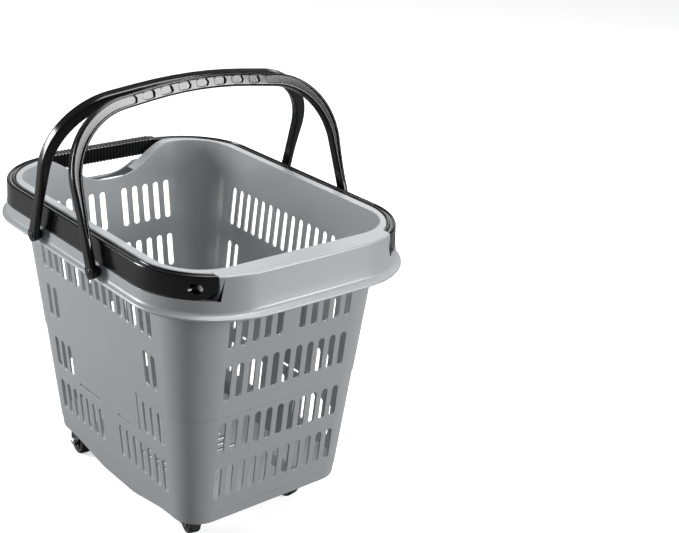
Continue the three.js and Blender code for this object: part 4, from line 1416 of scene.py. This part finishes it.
def black_gloss():
    marks = {"Scale": 60.0, "Amount": 0.35}
    grain = {"Scale": 1100.0, "Ripple": 3.0, "Depth": 0.000012}
    tone = {"base": finishes().handle, "lift": 0.25, "rough": 0.17, "rough_lift": 0.05}
    look = {"IOR": 1.5, "Specular_IOR_Level": 0.3}
    return surface("Black glossy plastic", marks=marks, grain=grain, **tone, **look)


def black_nylon():
    marks = {"Scale": 90.0, "Amount": 0.5}
    grain = {"Scale": 2200.0, "Ripple": 0.4, "Depth": 0.00006}
    tone = {"base": finishes().nylon, "lift": 0.3, "rough": 0.42, "rough_lift": 0.08}
    return surface("Black caster nylon", marks=marks, grain=grain, **tone)


def tyre_rubber():
    marks = {"Scale": 120.0, "Amount": 0.8}
    grain = {"Scale": 1800.0, "Ripple": 0.5, "Depth": 0.0001}
    tone = {"base": finishes().tyre, "lift": 0.35, "rough": 0.68, "rough_lift": 0.10}
    return surface("Tyre rubber", marks=marks, grain=grain, **tone)


def bright_metal():
    marks = {"Scale": 200.0, "Amount": 0.4}
    grain = {"Scale": 2600.0, "Ripple": 0.3, "Depth": 0.00002}
    tone = {"base": finishes().metal, "lift": 0.06, "rough": 0.36, "rough_lift": 0.08}
    return surface("Bright plated metal", marks=marks, grain=grain, Metallic=1.0, **tone)


def finish_piece(piece, body, material, nodes=()):
    """Gives a piece its material and body, and hides the nodes it stands for."""
    piece.data.materials.clear()
    piece.data.materials.append(material)
    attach(piece, body)
    if nodes:
        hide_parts(*nodes)


# ------------------------------------------------------------------ studio


FLOOR_HALF = 9.0
FLOOR_GLOW = 0.62  # the floor's own light, to the eye only, so that it stays pale
FLOOR_IN_REFLECTIONS = 0.24  # its grey as the pieces see it, so that they keep their contrast
WORLD_LIGHT, WORLD_SEEN = 0.20, 1.0  # the surroundings' strength on the pieces, and to the eye

# each light's place, width, height and power; all point at the middle of the basket
SOFTBOXES = {
    "overhead": ((0.1, 0.3, 2.0), 1.1, 1.1, 52),
    "left_box": ((-1.8, -2.2, 0.8), 0.6, 1.7, 120),
    "right_box": ((2.5, 1.5, 0.9), 0.6, 1.7, 92),
    "back_box": ((-2.0, 1.7, 1.35), 2.0, 0.5, 7),
}
LIT_POINT = Vector((0, 0, 0.3))


def studio_paint():
    """The floor's material: faintly mottled, and darker in reflections than to the eye."""
    paint = bpy.data.materials.new("Studio floor")
    paint.use_nodes = True
    tree = paint.node_tree
    link = tree.links.new
    main = tree.nodes["Principled BSDF"]
    main.inputs["Roughness"].default_value = 0.9
    speckle = node(tree, "TexNoise")
    speckle.inputs["Scale"].default_value = 3.0
    tint = node(tree, "MixRGB")
    pale = finishes().floor
    tint.inputs["Color1"].default_value = (*[c * 0.985 for c in pale], 1)
    tint.inputs["Color2"].default_value = (*pale, 1)
    link(speckle.outputs["Fac"], tint.inputs["Fac"])
    seen = node(tree, "LightPath")
    quiet = node(tree, "MixRGB")
    quiet.inputs["Color1"].default_value = (*[FLOOR_IN_REFLECTIONS] * 3, 1)
    link(seen.outputs["Is Camera Ray"], quiet.inputs["Fac"])
    link(tint.outputs["Color"], quiet.inputs["Color2"])
    link(quiet.outputs["Color"], main.inputs["Base Color"])
    glow = node(tree, "MapRange")
    glow.inputs["To Min"].default_value = 0
    glow.inputs["To Max"].default_value = FLOOR_GLOW
    main.inputs["Emission Color"].default_value = (1, 1, 1, 1)
    link(seen.outputs["Is Camera Ray"], glow.inputs["Value"])
    link(glow.outputs["Result"], main.inputs["Emission Strength"])
    return paint


def studio_floor():
    """A large level floor under the wheels."""
    size = FLOOR_HALF
    verts = [(-size, -size, 0), (size, -size, 0), (size, size, 0), (-size, size, 0)]
    floor = new_object("studio_floor", bpy.data.meshes.new("studio_floor"))
    floor.data.from_pydata(verts, [], [(0, 1, 2, 3)])
    floor.data.materials.append(studio_paint())


def surroundings(scene):
    """White to the eye, and a weaker fill light on the pieces."""
    world = scene.world or bpy.data.worlds.new("Studio")
    scene.world = world
    world.use_nodes = True
    tree = world.node_tree
    background = tree.nodes["Background"]
    background.inputs["Color"].default_value = (1, 1, 1, 1)
    seen = node(tree, "LightPath")
    strength = node(tree, "MapRange")
    strength.inputs["To Min"].default_value = WORLD_LIGHT
    strength.inputs["To Max"].default_value = WORLD_SEEN
    tree.links.new(seen.outputs["Is Camera Ray"], strength.inputs["Value"])
    tree.links.new(strength.outputs["Result"], background.inputs["Strength"])
    scene.view_settings.view_transform = "Standard"


def softbox(scene, name, at, wide, tall, power):
    """A rectangular light, turned to the middle of the basket."""
    light = bpy.data.lights.new(name, "AREA")
    light.shape = "RECTANGLE"
    light.size, light.size_y, light.energy = wide, tall, power
    holder = bpy.data.objects.new(name, light)
    scene.collection.objects.link(holder)
    holder.location = at
    holder.rotation_euler = (LIT_POINT - Vector(at)).to_track_quat("-Z", "Y").to_euler()


def viewpoint(scene):
    """The camera, on a circle round the basket's middle."""
    settings = scene.trolley_stage
    az, el, roll = settings.azimuth, settings.elevation, settings.roll
    back = Vector((math.sin(az) * math.cos(el), -math.cos(az) * math.cos(el), math.sin(el)))
    forward = -back
    right = forward.cross(Vector((0, 0, 1))).normalized()
    up = right.cross(forward)
    tilted_right = right * math.cos(roll) + up * math.sin(roll)
    tilted_up = up * math.cos(roll) - right * math.sin(roll)
    target = Vector((0, 0, settings.middle))
    place = target - forward * settings.distance
    place += tilted_right * settings.aside + tilted_up * settings.below
    camera = bpy.data.objects.new("camera", bpy.data.cameras.new("camera"))
    scene.collection.objects.link(camera)
    camera.data.sensor_width = 36
    camera.data.lens = settings.lens
    camera.data.clip_end = 50
    axes = Matrix((tilted_right, tilted_up, back)).transposed()
    camera.matrix_world = Matrix.Translation(place) @ axes.to_4x4()
    scene.camera = camera


def build_stage():
    """The floor, the surroundings, the lights and the camera."""
    scene = bpy.context.scene
    studio_floor()
    surroundings(scene)
    for name, (at, wide, tall, power) in SOFTBOXES.items():
        softbox(scene, name, at, wide, tall, power)
    viewpoint(scene)


# ------------------------------------------------------------------ operators and panel


class TROLLEY_OT_stage(bpy.types.Operator):
    """Build the floor, the soft lights and the camera"""

    bl_idname = "trolley.stage"
    bl_label = "Studio"

    def execute(self, context):
        build_stage()
        return {"FINISHED"}


class TROLLEY_OT_basket(bpy.types.Operator):
    """Build the slotted basket with its rim and floor"""

    bl_idname = "trolley.basket"
    bl_label = "Basket"

    def execute(self, context):
        build_basket()
        return {"FINISHED"}


class TROLLEY_OT_pull_handle(bpy.types.Operator):
    """Build the pull handle and its ribbed grip"""

    bl_idname = "trolley.pull_handle"
    bl_label = "Pull Handle"

    def execute(self, context):
        build_pull_handle()
        return {"FINISHED"}


class TROLLEY_OT_pull_screws(bpy.types.Operator):
    """Build the pull handle's pivot screws"""

    bl_idname = "trolley.pull_screws"
    bl_label = "Pull Screws"

    def execute(self, context):
        build_pull_screws()
        return {"FINISHED"}


class TROLLEY_OT_carry_handles(bpy.types.Operator):
    """Build the two carry handles"""

    bl_idname = "trolley.carry_handles"
    bl_label = "Carry Handles"

    def execute(self, context):
        build_carry_handles()
        return {"FINISHED"}


class TROLLEY_OT_carry_pins(bpy.types.Operator):
    """Build the carry handles' pivot pins"""

    bl_idname = "trolley.carry_pins"
    bl_label = "Carry Pins"

    def execute(self, context):
        build_carry_pins()
        return {"FINISHED"}


class TROLLEY_OT_casters(bpy.types.Operator):
    """Build the four swivel casters"""

    bl_idname = "trolley.casters"
    bl_label = "Casters"

    def execute(self, context):
        build_casters()
        return {"FINISHED"}


class TROLLEY_OT_plate_screws(bpy.types.Operator):
    """Build the caster plates' screws"""

    bl_idname = "trolley.plate_screws"
    bl_label = "Plate Screws"

    def execute(self, context):
        build_plate_screws()
        return {"FINISHED"}


OPERATORS = (
    TROLLEY_OT_stage,
    TROLLEY_OT_basket,
    TROLLEY_OT_pull_handle,
    TROLLEY_OT_pull_screws,
    TROLLEY_OT_carry_handles,
    TROLLEY_OT_carry_pins,
    TROLLEY_OT_casters,
    TROLLEY_OT_plate_screws,
)


class TROLLEY_PT_panel(bpy.types.Panel):
    """Lists the trolley's sizes, finishes and build steps"""

    bl_label = "Rolling Basket Trolley"
    bl_idname = "TROLLEY_PT_panel"
    bl_space_type = "VIEW_3D"
    bl_region_type = "UI"
    bl_category = "Trolley"

    def draw(self, context):
        layout = self.layout
        for group in ("trolley_basket", "trolley_handles", "trolley_finishes", "trolley_stage"):
            settings = getattr(context.scene, group)
            column = layout.column(align=True)
            for name in settings.__annotations__:
                column.prop(settings, name)
        for operator in OPERATORS:
            layout.operator(operator.bl_idname)


GROUPS = {
    "trolley_basket": TrolleyBasketSizes,
    "trolley_handles": TrolleyHandleSizes,
    "trolley_finishes": TrolleyFinishes,
    "trolley_stage": TrolleyStage,
}


def register():
    for name, group in GROUPS.items():
        bpy.utils.register_class(group)
        setattr(bpy.types.Scene, name, PointerProperty(type=group))
    for cls in (*OPERATORS, TROLLEY_PT_panel):
        bpy.utils.register_class(cls)


def unregister():
    for cls in (TROLLEY_PT_panel, *reversed(OPERATORS)):
        bpy.utils.unregister_class(cls)
    for name, group in GROUPS.items():
        delattr(bpy.types.Scene, name)
        bpy.utils.unregister_class(group)


def main():
    register()
    for operator in OPERATORS:
        getattr(bpy.ops.trolley, operator.bl_idname.split(".")[1])()
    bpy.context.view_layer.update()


if __name__ == "__main__":
    main()
